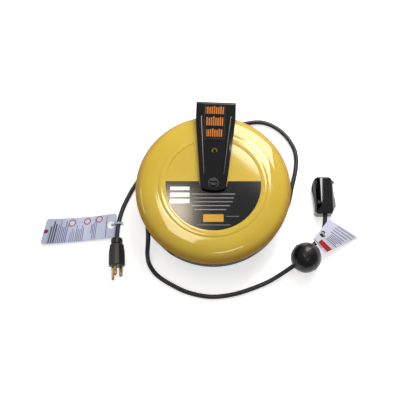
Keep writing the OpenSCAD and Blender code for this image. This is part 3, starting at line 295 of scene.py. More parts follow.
# %% Floor and background
FLOOR_SIZE, FLOOR_DROP = 6.0, 0.0002
FLOOR_COLOUR, FLOOR_LIFT = (0.86, 0.86, 0.87, 1), 0.6
SKY_COLOUR, SKY_LIGHT, SKY_SEEN = (0.97, 0.98, 1.0, 1), 0.26, 1.0
half = FLOOR_SIZE / 2
floor = mesh_object("floor", [(x, y, 0) for x, y in ((-half, -half), (half, -half), (half, half),
                                                     (-half, half))], [(0, 1, 2, 3)])
floor.location.z = -FLOOR_DROP
floor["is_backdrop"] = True

floor_paint = bpy.data.materials.new("floor_paint")
floor_paint.use_nodes = True
tree = floor_paint.node_tree
tree.nodes.clear()
out = tree.nodes.new("ShaderNodeOutputMaterial")
matt = tree.nodes.new("ShaderNodeBsdfDiffuse")
matt.inputs["Color"].default_value = FLOOR_COLOUR
glow = tree.nodes.new("ShaderNodeEmission")
glow.inputs["Color"].default_value = (1, 1, 1, 1)
both = tree.nodes.new("ShaderNodeAddShader")
ray = tree.nodes.new("ShaderNodeLightPath")
seen = math_node(tree, "MAXIMUM", ray.outputs["Is Camera Ray"], ray.outputs["Is Glossy Ray"])
tree.links.new(math_node(tree, "MULTIPLY", seen, FLOOR_LIFT), glow.inputs["Strength"])
tree.links.new(matt.outputs[0], both.inputs[0])
tree.links.new(glow.outputs[0], both.inputs[1])
tree.links.new(both.outputs[0], out.inputs["Surface"])
floor.data.materials.append(floor_paint)

world = bpy.data.worlds.new("white_room")
bpy.context.scene.world = world
world.use_nodes = True
tree = world.node_tree
tree.nodes.clear()
out = tree.nodes.new("ShaderNodeOutputWorld")
sky = tree.nodes.new("ShaderNodeBackground")
sky.inputs["Color"].default_value = SKY_COLOUR
ray = tree.nodes.new("ShaderNodeLightPath")
level = tree.nodes.new("ShaderNodeMix")
level.inputs["A"].default_value = SKY_LIGHT
level.inputs["B"].default_value = SKY_SEEN
tree.links.new(ray.outputs["Is Camera Ray"], level.inputs["Factor"])
tree.links.new(level.outputs["Result"], sky.inputs["Strength"])
tree.links.new(sky.outputs[0], out.inputs["Surface"])
bpy.context.scene.view_settings.view_transform = "Standard"
print("floor", FLOOR_SIZE, "m across")

# %% Lamps
WARM, CREAM, AMBER = (1.0, 0.985, 0.94), (1.0, 0.95, 0.82), (1.0, 0.84, 0.66)
CEILING = 1.5
REEL_MIDDLE = (0, 0, 0.07)


def panel(name, place, aim, width, height, glow, colour=(1, 1, 1)):
    """A flat soft lamp that faces a point; its glow is the brightness that a mirror would show."""
    lamp = bpy.data.lights.new(name, "AREA")
    lamp.shape = "RECTANGLE"
    lamp.size, lamp.size_y, lamp.color = width, height, colour
    lamp.energy = glow * math.pi * width * height
    made = bpy.data.objects.new(name, lamp)
    made.location = place
    made.rotation_euler = (Vector(aim) - Vector(place)).to_track_quat("-Z", "Y").to_euler()
    bpy.context.scene.collection.objects.link(made)
    return made


def glint(lamp, glow):
    """A twin of a lamp that only shows in gloss, to set a highlight apart from the light level."""
    twin = bpy.data.objects.new(lamp.name + "_glint", lamp.data.copy())
    twin.data.energy = glow * math.pi * lamp.data.size * lamp.data.size_y
    twin.location, twin.rotation_euler = lamp.location, lamp.rotation_euler
    twin.visible_diffuse = False
    bpy.context.scene.collection.objects.link(twin)


def overhead(name, x, y, width, height, glow, turn=0, colour=(1, 1, 1)):
    """A panel in the ceiling that faces straight down."""
    made = panel(name, (x, y, CEILING), (x, y, 0), width, height, glow, colour)
    made.rotation_euler = (0, 0, math.radians(turn))
    return made


glint(overhead("panel_above", 0.265, 0.702, 0.24, 0.39, 8.0, -38, WARM), 6.0)
overhead("strip_above", 0.362, 0.545, 0.0135, 0.11, 9.0)
glint(overhead("panel_left", -0.27, 0.10, 0.36, 0.60, 5.0, -20, CREAM), 8.0)
overhead("panel_label", -0.130, 0.410, 0.12, 0.11, 22.0, 0, AMBER)
# Two panels side by side in a sloping plane behind the reel, each with its edges in that plane
BEHIND_AT, BEHIND_AIM = Vector((0.55, 1.0, 0.78)), Vector((0, 0, 0.05))
BEHIND_ACROSS, BEHIND_UP = Vector((-0.876, 0.482, 0)), Vector((-0.260, -0.472, 0.842))
for name, first, last, low, high in (("panel_behind", -0.06, 0.52, -0.36, 0.76),
                                     ("panel_beside", -0.25, -0.06, -0.42, 0.50)):
    shift = BEHIND_ACROSS * (first + last) / 2 + BEHIND_UP * (low + high) / 2
    made = panel(name, BEHIND_AT + shift, BEHIND_AIM + shift, last - first, high - low, 6.5, WARM)
    glint(made, 5.5)
glint(panel("strip_left", (-1.12, 0.06, 0.48), REEL_MIDDLE, 0.44, 0.10, 5.0, WARM), 5.0)
glint(panel("panel_front", (0.30, -0.74, 1.2), REEL_MIDDLE, 0.55, 0.10, 5.0, WARM), 6.0)

# %% [markdown]
# ## Shared effects
# Paint, rubber and steel all vary a little from place to place, and printing is laid out in
# blocks and rows. Three small node groups hold that: one gives a soft mottle, one marks out a
# rectangle, one marks out rows of plain bars. Each material places them with its own values,
# so that one good idea serves them all.


# %% Node groups
def new_group(name, result, **values):
    """A shader node group with a vector input, named number inputs and one number output."""
    group = bpy.data.node_groups.new(name, "ShaderNodeTree")
    group.interface.new_socket(name="Vector", in_out="INPUT", socket_type="NodeSocketVector")
    for label, value in values.items():
        socket = group.interface.new_socket(name=label.replace("_", " "), in_out="INPUT",
                                            socket_type="NodeSocketFloat")
        socket.default_value = value
    group.interface.new_socket(name=result, in_out="OUTPUT", socket_type="NodeSocketFloat")
    return group, group.nodes.new("NodeGroupInput"), group.nodes.new("NodeGroupOutput")


# Soft mottle: 0.5 on average, with a set contrast
mottle, given, gives = new_group("mottle", "Value", Scale=80.0, Contrast=1.0)
noise = mottle.nodes.new("ShaderNodeTexNoise")
noise.inputs["Detail"].default_value = 4
noise.inputs["Roughness"].default_value = 0.6
mottle.links.new(given.outputs["Vector"], noise.inputs["Vector"])
mottle.links.new(given.outputs["Scale"], noise.inputs["Scale"])
centred = math_node(mottle, "SUBTRACT", noise.outputs["Fac"], 0.5)
spread = math_node(mottle, "MULTIPLY", centred, given.outputs["Contrast"])
mottle.links.new(math_node(mottle, "ADD", spread, 0.5, clamp=True), gives.inputs["Value"])

# Rectangle: 1 inside, 0 outside, with a soft edge; X and Y of the vector only
field, given, gives = new_group("field", "Mask", X=0.0, Y=0.0, Half_width=0.01, Half_height=0.01,
                                Corner=0.0005, Edge=0.0003)
parts = field.nodes.new("ShaderNodeSeparateXYZ")
field.links.new(given.outputs["Vector"], parts.inputs[0])
beyond = []
for axis, half_size in (("X", "Half width"), ("Y", "Half height")):
    offset = math_node(field, "SUBTRACT", parts.outputs[axis], given.outputs[axis])
    away = math_node(field, "ABSOLUTE", offset)
    inner = math_node(field, "SUBTRACT", given.outputs[half_size], given.outputs["Corner"])
    beyond.append(math_node(field, "MAXIMUM", math_node(field, "SUBTRACT", away, inner), 0.0))
squares = [math_node(field, "MULTIPLY", b, b) for b in beyond]
distance = math_node(field, "SQRT", math_node(field, "ADD", *squares))
depth = math_node(field, "SUBTRACT", given.outputs["Corner"], distance)
mask = math_node(field, "DIVIDE", depth, given.outputs["Edge"])
field.links.new(math_node(field, "ADD", mask, 0.5, clamp=True), gives.inputs["Mask"])

# Rows of plain bars with a ragged end; a row runs along X, rows follow each other along Y
rows, given, gives = new_group("rows", "Mask", Pitch=0.003, Fill=0.5, Length=0.03, Ragged=0.4)
parts = rows.nodes.new("ShaderNodeSeparateXYZ")
rows.links.new(given.outputs["Vector"], parts.inputs[0])
place = math_node(rows, "DIVIDE", parts.outputs["Y"], given.outputs["Pitch"])
row_number = math_node(rows, "FLOOR", place)
in_row = math_node(rows, "FRACT", place)
line = math_node(rows, "LESS_THAN", in_row, given.outputs["Fill"])
shuffle = rows.nodes.new("ShaderNodeTexWhiteNoise")
shuffle.noise_dimensions = "1D"
rows.links.new(row_number, shuffle.inputs["W"])
short = math_node(rows, "MULTIPLY", shuffle.outputs["Value"], given.outputs["Ragged"])
end = math_node(rows, "MULTIPLY", math_node(rows, "SUBTRACT", 1.0, short), given.outputs["Length"])
inside = math_node(rows, "LESS_THAN", parts.outputs["X"], end)
begun = math_node(rows, "GREATER_THAN", parts.outputs["X"], 0.0)
rows.links.new(math_node(rows, "MULTIPLY", math_node(rows, "MULTIPLY", line, inside), begun),
               gives.inputs["Mask"])
print("node groups:", [g.name for g in bpy.data.node_groups])

# %% [markdown]
# ## Finishes
# Each finish is one Principled shader. Its base colour, roughness and bump vary through the
# mottle group at the scale of the real surface, and the numbers that are the same all over
# are set on the shader's own sockets. The yellow is a baked enamel: a coloured coat under a
# clear gloss, with the faint orange peel that sprayed paint dries to.


# %% A finish
def srgb(r, g, b):
    """A colour as it shows on a screen, 0 to 255, in the linear values of the shader."""
    shares = [c / 255 for c in (r, g, b)]
    linear = [c / 12.92 if c <= 0.04045 else ((c + 0.055) / 1.055) ** 2.4 for c in shares]
    return (*linear, 1.0)


def place_group(tree, group, vector, **values):
    """A shared group fed with coordinates, and with this material's own values."""
    made = tree.nodes.new("ShaderNodeGroup")
    made.node_tree = group
    tree.links.new(vector, made.inputs["Vector"])
    for label, value in values.items():
        made.inputs[label.replace("_", " ")].default_value = value
    return made.outputs[0]


def mix_colour(tree, factor, a, b):
    """Colour a where the factor is 0 and b where it is 1."""
    made = tree.nodes.new("ShaderNodeMix")
    made.data_type = "RGBA"
    tree.links.new(factor, made.inputs["Factor"])
    for socket, value in ((made.inputs[6], a), (made.inputs[7], b)):
        if isinstance(value, tuple):
            socket.default_value = value
        else:
            tree.links.new(value, socket)
    return made.outputs[2]


def finish(name, light, dark, roughness, spread, scale, grain, bump, metallic=0.0, **sockets):
    """A material that drifts between two colours, with an uneven roughness and a fine bump."""
    material = bpy.data.materials.new(name)
    material.use_nodes = True
    tree = material.node_tree
    shader = tree.nodes["Principled BSDF"]
    where = tree.nodes.new("ShaderNodeTexCoord").outputs["Object"]
    drift = place_group(tree, mottle, where, Scale=scale, Contrast=2.0)
    tree.links.new(mix_colour(tree, drift, srgb(*dark), srgb(*light)), shader.inputs["Base Color"])
    patch = place_group(tree, mottle, where, Scale=scale * 3, Contrast=1.5)
    uneven = math_node(tree, "MULTIPLY", patch, spread)
    uneven = math_node(tree, "ADD", uneven, roughness - spread / 2)
    tree.links.new(uneven, shader.inputs["Roughness"])
    shader.inputs["Metallic"].default_value = metallic
    for label, value in sockets.items():
        shader.inputs[label.replace("_", " ")].default_value = value
    fine = place_group(tree, mottle, where, Scale=grain, Contrast=1.6)
    relief = tree.nodes.new("ShaderNodeBump")
    relief.inputs["Strength"].default_value = bump
    relief.inputs["Distance"].default_value = 0.4 * MM
    tree.links.new(fine, relief.inputs["Height"])
    tree.links.new(relief.outputs["Normal"], shader.inputs["Normal"])
    return material


# Light and dark colour, roughness and its spread, fineness of the drift and of the grain, bump,
# and 1.0 for a metal
looks = {
    "yellow_enamel": ((220, 188, 62), (212, 179, 54), 0.50, 0.06, 14, 480, 0.10),
    "black_enamel": ((17, 17, 18), (12, 12, 13), 0.45, 0.10, 40, 1200, 0.10),
    "pan_enamel": ((19, 19, 22), (13, 13, 15), 0.5, 0.10, 40, 1200, 0.10),
    "black_nylon": ((28, 28, 30), (20, 20, 22), 0.5, 0.10, 60, 1500, 0.12),
    "cord_rubber": ((34, 34, 38), (24, 24, 27), 0.40, 0.10, 90, 1600, 0.10),
    "moulded_rubber": ((19, 19, 21), (13, 13, 14), 0.34, 0.12, 70, 1800, 0.14),
    "ball_rubber": ((18, 18, 20), (12, 12, 14), 0.42, 0.1, 70, 1800, 0.05),
    "glossy_shell": ((13, 13, 14), (9, 9, 10), 0.5, 0.08, 60, 1500, 0.05),
    "zinc": ((205, 207, 210), (180, 183, 188), 0.3, 0.14, 180, 900, 0.05, 1.0),
    "bright_steel": ((176, 178, 182), (150, 152, 157), 0.28, 0.14, 150, 900, 0.05, 1.0),
    "dark_steel": ((52, 54, 58), (36, 38, 42), 0.3, 0.14, 150, 900, 0.05, 1.0),
    "spring_steel": ((118, 122, 130), (96, 100, 108), 0.32, 0.12, 120, 900, 0.05, 1.0),
    "brass": ((196, 164, 112), (150, 118, 72), 0.26, 0.14, 160, 900, 0.05, 1.0),
    "phenolic": ((104, 66, 40), (84, 52, 32), 0.5, 0.1, 60, 1200, 0.1),
    "carbon": ((56, 56, 58), (44, 44, 46), 0.55, 0.1, 90, 1500, 0.1),
    "white_nylon": ((206, 208, 222), (190, 192, 210), 0.4, 0.08, 70, 1200, 0.05),
}
# Gloss under the coat and in the coat, where it isn't the shader's own
gloss = {
    "yellow_enamel": dict(Specular_IOR_Level=0.1, Coat_Roughness=0.06, Coat_IOR=1.65),
    "black_enamel": dict(Specular_IOR_Level=0.05, Coat_Weight=0.6, Coat_Roughness=0.05),
    "pan_enamel": dict(Specular_IOR_Level=0.05, Coat_Weight=0.12, Coat_Roughness=0.08),
    "black_nylon": dict(Specular_IOR_Level=0.35),
    "cord_rubber": dict(Specular_IOR_Level=0.45),
    "moulded_rubber": dict(Specular_IOR_Level=0.45),
    "ball_rubber": dict(Specular_IOR_Level=0.15, Coat_Weight=0.5, Coat_Roughness=0.14),
    "glossy_shell": dict(Specular_IOR_Level=0.0, Coat_Weight=1.0, Coat_Roughness=0.02,
                         Coat_IOR=1.75),
}
finishes = {name: finish(name, *values, **gloss.get(name, {})) for name, values in looks.items()}
print("finishes:", len(finishes))


# %% The enamel of the front cover, with painted shade down its skirt
def enamel_and_painted_skirt_shade(material, skirt, low, high):
    """Enamel, thin and dull down a skirt and thick and wet above, with painted shade: a darker,
    browner colour down the skirt; heights in millimetres.
    """
    tree = material.node_tree
    shader = tree.nodes["Principled BSDF"]
    apart = tree.nodes.new("ShaderNodeSeparateXYZ")
    tree.links.new(tree.nodes.new("ShaderNodeTexCoord").outputs["Object"], apart.inputs[0])
    ramp = tree.nodes.new("ShaderNodeMapRange")
    ramp.interpolation_type = "SMOOTHSTEP"
    ramp.inputs["From Min"].default_value = low * MM
    ramp.inputs["From Max"].default_value = high * MM
    tree.links.new(apart.outputs["Z"], ramp.inputs["Value"])
    mask, base = ramp.outputs["Result"], shader.inputs["Base Color"]
    tree.links.new(mix_colour(tree, mask, srgb(*skirt), base.links[0].from_socket), base)
    tree.links.new(mask, shader.inputs["Coat Weight"])


# Painted shade: the browner yellow below the shoulder stands for the shade on the cover's steep
# sides
enamel_and_painted_skirt_shade(finishes["yellow_enamel"], (188, 146, 58), 70, 78)

# %% Finishes on the CAD nodes
node_finish = {
    "black_enamel": ["cover_screws", "terminal_plate"],
    "black_nylon": ["cord_guide", "terminal_cap", "connector_face", "bracket_bushes"],
    "moulded_rubber": ["strain_relief"],
    "zinc": ["flange_rivets", "front_nut", "thrust_washers", "cap_screws", "pawl_pin",
             "drum_rivets"],
    "bright_steel": ["drum_hub", "hub_cover", "drum_rear_flange", "drum_front_flange",
                     "ratchet_ring", "pawl"],
    "dark_steel": ["centre_shaft", "retaining_ring", "stop_ball_screws", "connector_screws"],
    "spring_steel": ["brush_springs", "power_spring", "pawl_spring"],
    "brass": ["plug_blades", "plug_ground_pin", "connector_contacts", "hub_bushes", "slip_rings"],
    "phenolic": ["brush_holder", "slip_ring_carrier"],
    "carbon": ["brushes"],
    "white_nylon": ["terminal_block"],
}


def dress(piece, material):
    """Puts one material over a whole piece."""
    piece.data.materials.clear()
    piece.data.materials.append(material)
    for face in piece.data.polygons:
        face.material_index = 0


def fit(piece, body, slot, material, *stands_for):
    """Makes a piece ride a body, stand for CAD nodes, and take a finish; the slot argument is not
    used.
    """
    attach(piece, body)
    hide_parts(*stands_for)
    dress(piece, material)
    print(piece.name, "has", len(piece.data.polygons), "faces")
    return piece


for name, members in node_finish.items():
    for member in members:
        dress(nodes[member], finishes[name])
print("CAD nodes dressed:", sum(len(members) for members in node_finish.values()))

# %% The jackets of the two leads
supply_jacket, output_jacket = (
    fit(swept(name, line, circle(CORD_RADIUS, CORD_SIDES)), "reel", "black_rubber",
        finishes["cord_rubber"], node)
    for name, line, node in (("supply_jacket", supply_line, "supply_cord"),
                             ("output_jacket", output_line, "output_cord")))

# %% [markdown]
# ## Printed fields
# The label, the arm and the tags carry plain printed fields: blocks and rows of one colour.
# A field is paint over paint, so it is mixed into the colour that the finish already has. The
# fields are laid out in millimetres in a frame that can be turned, as a printer would do it.


# %% Painting a field over a finish
def print_frame(material, x=0, y=0, angle=0, source="Object"):
    """Coordinates of a printed sheet, in metres, with its origin and direction set."""
    tree = material.node_tree
    place = tree.nodes.new("ShaderNodeMapping")
    place.vector_type = "TEXTURE"
    place.inputs["Location"].default_value = (x * MM, y * MM, 0)
    place.inputs["Rotation"].default_value = (0, 0, math.radians(angle))
    tree.links.new(tree.nodes.new("ShaderNodeTexCoord").outputs[source], place.inputs["Vector"])
    return place.outputs["Vector"]


def paint_over(material, mask, colour):
    """Lays a plain colour over what the material has, where a mask is 1."""
    tree = material.node_tree
    base = tree.nodes["Principled BSDF"].inputs["Base Color"]
    tree.links.new(mix_colour(tree, mask, base.links[0].from_socket, srgb(*colour)), base)


def field_mask(material, frame_vector, x0, x1, y0, y1, corner=0.4, edge=0.25):
    """A mask that is 1 in a rectangle given in millimetres."""
    return place_group(material.node_tree, field, frame_vector,
                       X=(x0 + x1) / 2 * MM, Y=(y0 + y1) / 2 * MM,
                       Half_width=abs(x1 - x0) / 2 * MM, Half_height=abs(y1 - y0) / 2 * MM,
                       Corner=corner * MM, Edge=edge * MM)


def both_masks(material, a, b):
    """A mask that is 1 where two others are."""
    return math_node(material.node_tree, "MULTIPLY", a, b, clamp=True)


# %% [markdown]
# ## The front cover
# The cover is one pressing: a flat face with a raised ring, a shoulder that falls to the skirt,
# and a plain edge at the seam. The CAD solid has this form in a few bands; turned on a lathe
# with fine steps the same profile takes a highlight without corners. The collar round the hole
# for the locking screw and the tabs that reach inside the rear cover are added to the shell.

# %% Profile of the front cover
FRONT_Z, SEAM_Z, SHEET = 82.0, 60.0, 1.5
HOUSING_R, SHOULDER_W, SHOULDER_H = 124.0, 35.0, 20.0
FRONT_BORE = 6.6
RING_OUTER, RING_INNER = (75.5, 77.9, 83.6, 87.6), (76.4, 78.4, 83.2, 86.8)
RING_H, RING_STEPS, RING_MARGIN = 0.9, 8, 0.5
LOCK_Y, LOCK_R, COLLAR_H = 56.0, 7.2, 3.5
TAB_ANGLES = [272.2 + 72 * i for i in range(5)]
TAB_R, TAB_W, EAR_R = 118.3, 14.0, 123.0
SCREW_Z, TAB_HOLE_R, LIP_H = 52.0, 2.1, 6.0
ROUND_TURN = 256


def shoulder(r0, z0, across, down, steps):
    """A quarter of an ellipse from the flat face to the skirt."""
    turn = [math.pi / 2 * i / steps for i in range(steps + 1)]
    return [(r0 + across * math.sin(a), z0 + down * math.cos(a)) for a in turn]


def step_ring(r0, r1, r2, r3, z):
    """A raised ring with a flat top between r1 and r2, rounded flanks and a narrow flat margin."""
    share = [i / RING_STEPS for i in range(RING_STEPS + 1)]
    ease = [(t, t * t * (3 - 2 * t)) for t in share]
    rise = [(r0 + (r1 - r0) * t, z + RING_H * up) for t, up in ease]
    fall = [(r2 + (r3 - r2) * t, z + RING_H * (1 - up)) for t, up in ease]
    return [(r0 - RING_MARGIN, z)] + rise + fall + [(r3 + RING_MARGIN, z)]


SHOULDER_R = HOUSING_R - SHOULDER_W
SHOULDER_Z = FRONT_Z - SHOULDER_H
front_outer = ([(FRONT_BORE, FRONT_Z), (30, FRONT_Z), (60, FRONT_Z)]
               + step_ring(*RING_OUTER, FRONT_Z)
               + shoulder(SHOULDER_R, SHOULDER_Z, SHOULDER_W, SHOULDER_H, 28)
               + [(HOUSING_R, SEAM_Z + 0.5), (HOUSING_R - 0.4, SEAM_Z)])
front_inner = ([(FRONT_BORE, FRONT_Z - SHEET)]
               + step_ring(*RING_INNER, FRONT_Z - SHEET)
               + shoulder(SHOULDER_R, SHOULDER_Z, SHOULDER_W - SHEET, SHOULDER_H - SHEET, 14)
               + [(REAR_R + 0.1, SEAM_Z + 1.4), (REAR_R + 0.1, SEAM_Z)])

# %% The shell, its collar and its tabs
front_shell = lathe("front_shell", front_outer + front_inner[::-1], ROUND_TURN, 40)
carve(front_shell, [prism(circle(LOCK_R, 48, 0, LOCK_Y), FRONT_Z - 4, FRONT_Z + 2)])
top = FRONT_Z + COLLAR_H
collar_profile = [(8.0, FRONT_Z - SHEET), (3.9, top - SHEET - 0.5), (3.0, top - SHEET - 0.5),
                  (3.0, top - 0.6), (3.2, top - 0.1), (3.8, top - 0.1), (4.4, top - 0.5),
                  (7.0, FRONT_Z + 1.1), (8.0, FRONT_Z)]
collar = lathe("collar", collar_profile, 64)
collar.data.transform(shifted(0, LOCK_Y, 0))
extras = [collar]
for angle in TAB_ANGLES:
    place = turned(angle)
    tab = box(TAB_R, TAB_R + SHEET, -TAB_W / 2, TAB_W / 2, SCREW_Z - 6, SEAM_Z + LIP_H, place)
    ear = box(TAB_R, EAR_R, -TAB_W / 2, TAB_W / 2, SEAM_Z + 2.6, SEAM_Z + LIP_H, place)
    carve(tab, [ear], "UNION")
    through = place @ shifted(0, 0, SCREW_Z) @ turned(90, "Y")
    carve(tab, [prism(circle(TAB_HOLE_R), TAB_R - 3, TAB_R + 4, through)])
    extras.append(tab)
carve(front_shell, extras, "UNION", 40)
fit(front_shell, "reel", "yellow_paint", finishes["yellow_enamel"], "front_cover")

# %% [markdown]
# ## The rear cover
# The rear cover is a deeper pan whose lip fits inside the front cover. It is turned too. A flat
# is pressed into its side where the output lead comes out, and a window for the moulded guide
# is cut there, with slots for the tabs and holes for the screws and the rivets of the axle.

# %% Profile of the rear cover
REAR_Z, REAR_CORNER, CORNER_STEPS, REAR_BORE = 18.5, 18.0, 16, 9.1
BEAD_R, BEAD_W, BEAD_H, BEAD_STEPS = 84.0, 11.0, 2.0, 20
OUTLET_ANGLE, OUTLET_FLAT, FLAT_HALF, FLAT_TOP, PAST_WALL = 229, REAR_R - 2, 80, SEAM_Z - 0.3, 140
WINDOW_IN, WINDOW_OUT, WINDOW_LOW, WINDOW_HIGH = 114.3, 130, 38, 59.7
WEDGE_ANGLES, WEDGE_R, WEDGE_LOW, WEDGE_HIGH = range(205, 246, 10), 160, 30, 70
SLOT_IN, SLOT_OUT, SLOT_W, SCREW_HOLE_R = 118.1, 123.6, 17.0, 2.2
RIVET_ANGLES, RIVET_AT, RIVET_HOLE_R = (0, 120, 240), 16.5, 1.65


def bead(width, z):
    """A smooth ring that is pressed into the flat bottom."""
    turn = [2 * math.pi * i / BEAD_STEPS for i in range(BEAD_STEPS + 1)]
    return [(BEAD_R - width / 2 + width * i / BEAD_STEPS, z + BEAD_H * (1 - math.cos(a)) / 2)
            for i, a in enumerate(turn)]


def pan(inset):
    """One skin of the rear cover, set in from the outer one: bottom bead, rounded corner, wall."""
    corner = REAR_CORNER - inset
    arc = shoulder(REAR_R - REAR_CORNER, 0, corner, corner, CORNER_STEPS)
    bend = [(r, REAR_Z + REAR_CORNER - down) for r, down in arc]
    return ([(REAR_BORE, REAR_Z + inset)] + bead(BEAD_W + inset, REAR_Z + inset) + bend
            + [(REAR_R - inset, SEAM_Z + LIP_H)])


rear_outer, rear_inner = pan(0), pan(SHEET)
rear_shell = lathe("rear_shell", rear_outer + rear_inner[::-1], ROUND_TURN, 35)

# %% The flat, the window, the slots and the holes of the rear cover
outlet = turned(OUTLET_ANGLE)
flat_sides = (-FLAT_HALF, FLAT_HALF, REAR_Z - 1, FLAT_TOP)
carve(rear_shell, [box(OUTLET_FLAT, PAST_WALL, *flat_sides, outlet)])
plate = box(OUTLET_FLAT - SHEET, OUTLET_FLAT, *flat_sides, outlet)
pan_space = lathe("cutter", [(0.01, REAR_Z - 1)] + rear_outer[1:] + [(0.01, SEAM_Z + LIP_H)], 128)
carve(plate, [pan_space], "INTERSECT")
carve(rear_shell, [plate], "UNION")
guide_window = lathe("cutter", [(WINDOW_IN, WINDOW_LOW), (WINDOW_OUT, WINDOW_LOW),
                                (WINDOW_OUT, WINDOW_HIGH), (WINDOW_IN, WINDOW_HIGH)], 180)
fan = [(WEDGE_R * math.cos(math.radians(a)), WEDGE_R * math.sin(math.radians(a)))
       for a in WEDGE_ANGLES]
carve(guide_window, [prism([(0, 0)] + fan, WEDGE_LOW, WEDGE_HIGH)], "INTERSECT")
cutters = [guide_window]
for angle in TAB_ANGLES:
    place = turned(angle)
    cutters.append(box(SLOT_IN, SLOT_OUT, -SLOT_W / 2, SLOT_W / 2, SEAM_Z + 1, SEAM_Z + 9, place))
    through = place @ shifted(0, 0, SCREW_Z) @ turned(90, "Y")
    cutters.append(prism(circle(SCREW_HOLE_R), 115, 124, through))
for angle in RIVET_ANGLES:
    place = turned(angle) @ shifted(RIVET_AT, 0, 0)
    cutters.append(prism(circle(RIVET_HOLE_R), REAR_Z - 1, REAR_Z + 3, place))
carve(rear_shell, cutters, "DIFFERENCE", 35)
fit(rear_shell, "reel", "black_paint", finishes["pan_enamel"], "rear_cover")

# %% [markdown]
# ## Moulded and bent parts
# Every edge of a moulding or of a bent strip has a small radius, and that radius is what
# catches the light. The CAD solids have plain sharp edges, so the ones that show most are
# copied, their triangles merged into flat faces again, and their sharp edges bevelled.


# %% Rounding the edges of a copy
SAME_POINT, FLAT_ANGLE, SHARP_ANGLE = 0.02 * MM, math.radians(0.5), math.radians(28)


def rounded(node, width):
    """A copy of a CAD node whose sharp edges are rounded, with a width in millimetres."""
    work = bmesh.new()
    work.from_mesh(nodes[node].data)
    bmesh.ops.remove_doubles(work, verts=work.verts, dist=SAME_POINT)
    bmesh.ops.dissolve_limit(work, angle_limit=FLAT_ANGLE, verts=work.verts, edges=work.edges)
    mesh = bpy.data.meshes.new(node + "_rounded")
    work.to_mesh(mesh)
    work.free()
    piece = bpy.data.objects.new(node + "_rounded", mesh)
    bpy.context.scene.collection.objects.link(piece)
    edge = piece.modifiers.new("edge", "BEVEL")
    edge.width = width * MM
    edge.segments = 2
    edge.limit_method = "ANGLE"
    edge.angle_limit = SHARP_ANGLE
    edge.miter_outer = "MITER_ARC"
    soften(piece, 32)
    even = piece.modifiers.new("even", "WEIGHTED_NORMAL")
    even.weight = 80
    even.keep_sharp = True
    apply_modifiers(piece)
    return piece


for node, width, material in (("plug_body", 0.7, "moulded_rubber"),
                              ("stop_ball_upper", 0.15, "ball_rubber"),
                              ("stop_ball_lower", 0.15, "ball_rubber"),
                              ("connector_upper", 0.5, "glossy_shell"),
                              ("connector_lower", 0.5, "glossy_shell")):
    fit(rounded(node, width), "reel", "black_rubber", finishes[material], node)

# %% [markdown]
# ## Cord on the drum
# Inside, the cord lies on the drum in turns. The outer layer is one tube that follows a helix,
# the stretch to the outlet leaves it along a tangent, and the layers below show only as rings,
# so they are one turned body with the outline of the turns.

# %% Outer layer, inner layers and the stretch to the outlet
DRUM_MIDDLE, TURN_STEPS = 53, 72
WOUND_R, WOUND_TURNS, WOUND_PITCH = 100.0, 3, 8.3
FEED_ANGLE, FEED_R, FEED_Z, FEED_STEPS = 187.7, 108.6, 50, 8
HUB_R, CORE_R, CORE_LOW, CORE_HIGH = 80.1, 95.1, 35.5, 70.5
CORE_TURNS, CORE_PITCH, CORE_BULGE = 4, 8.6, 3.9


def round_axle(radius, angle, z):
    """A point given by its radius, its angle in degrees and its height."""
    a = math.radians(angle)
    return Vector((radius * math.cos(a), radius * math.sin(a), z)) * MM


helix = [round_axle(WOUND_R, FEED_ANGLE - 360 * t,
                    DRUM_MIDDLE + (t - WOUND_TURNS / 2) * WOUND_PITCH)
         for t in (i / TURN_STEPS for i in range(TURN_STEPS * WOUND_TURNS + 1))]
wound_layer = swept("wound_layer", helix, circle(CORD_RADIUS, 16))
fit(wound_layer, "drum", "black_rubber", finishes["cord_rubber"], "wound_cord_layer")

feed_start = round_axle(FEED_R, FEED_ANGLE, FEED_Z)
feed_line = [feed_start.lerp(output_line[0], i / FEED_STEPS) for i in range(FEED_STEPS + 1)]
feed = swept("lead_to_outlet", feed_line, circle(CORD_RADIUS, CORD_SIDES))
fit(feed, "reel", "black_rubber", finishes["cord_rubber"], "cord_feed")

outline = [(HUB_R, CORE_LOW)]
for k in range(CORE_TURNS):
    middle = DRUM_MIDDLE + (k - (CORE_TURNS - 1) / 2) * CORE_PITCH
    outline += [(CORE_R - CORE_BULGE + CORE_BULGE * math.sin(math.radians(a)),
                 middle - CORE_PITCH / 2 * math.cos(math.radians(a))) for a in range(20, 161, 20)]
outline.append((HUB_R, CORE_HIGH))
wound_core = lathe("wound_inner_layers", outline, 144, 40)
fit(wound_core, "drum", "black_rubber", finishes["cord_rubber"], "wound_cord_core")

# %% [markdown]
# ## Tags
# A tag is a thin plastic card that a strap holds to the lead. It is a sheet between four
# corners, with a slow wave and a curl, cut to an outline with round corners and a punched
# hole. The sheet carries UV coordinates in metres, so that the printing lies flat on it
# however it bends.


# %% A bent card
CARD_THICK, CARD_LIFT, CARD_COLUMNS, CARD_ROWS = 0.6, 0.1, 60, 20
CUT_LOW, CUT_HIGH, WAVE_SKEW = -5, 45, 0.3


def card_point(corners, wave, curl, u, v):
    """A point on a sheet between four corners, a share u along it and v across it."""
    c0, c1, c2, c3 = (Vector(c) for c in corners)
    flat = (1 - u) * ((1 - v) * c0 + v * c1) + u * ((1 - v) * c3 + v * c2)
    skew = 1 + WAVE_SKEW * math.cos(math.pi * v)
    return flat + Vector((0, 0, wave * math.sin(math.pi * u) * skew + curl * u * u * v * v))


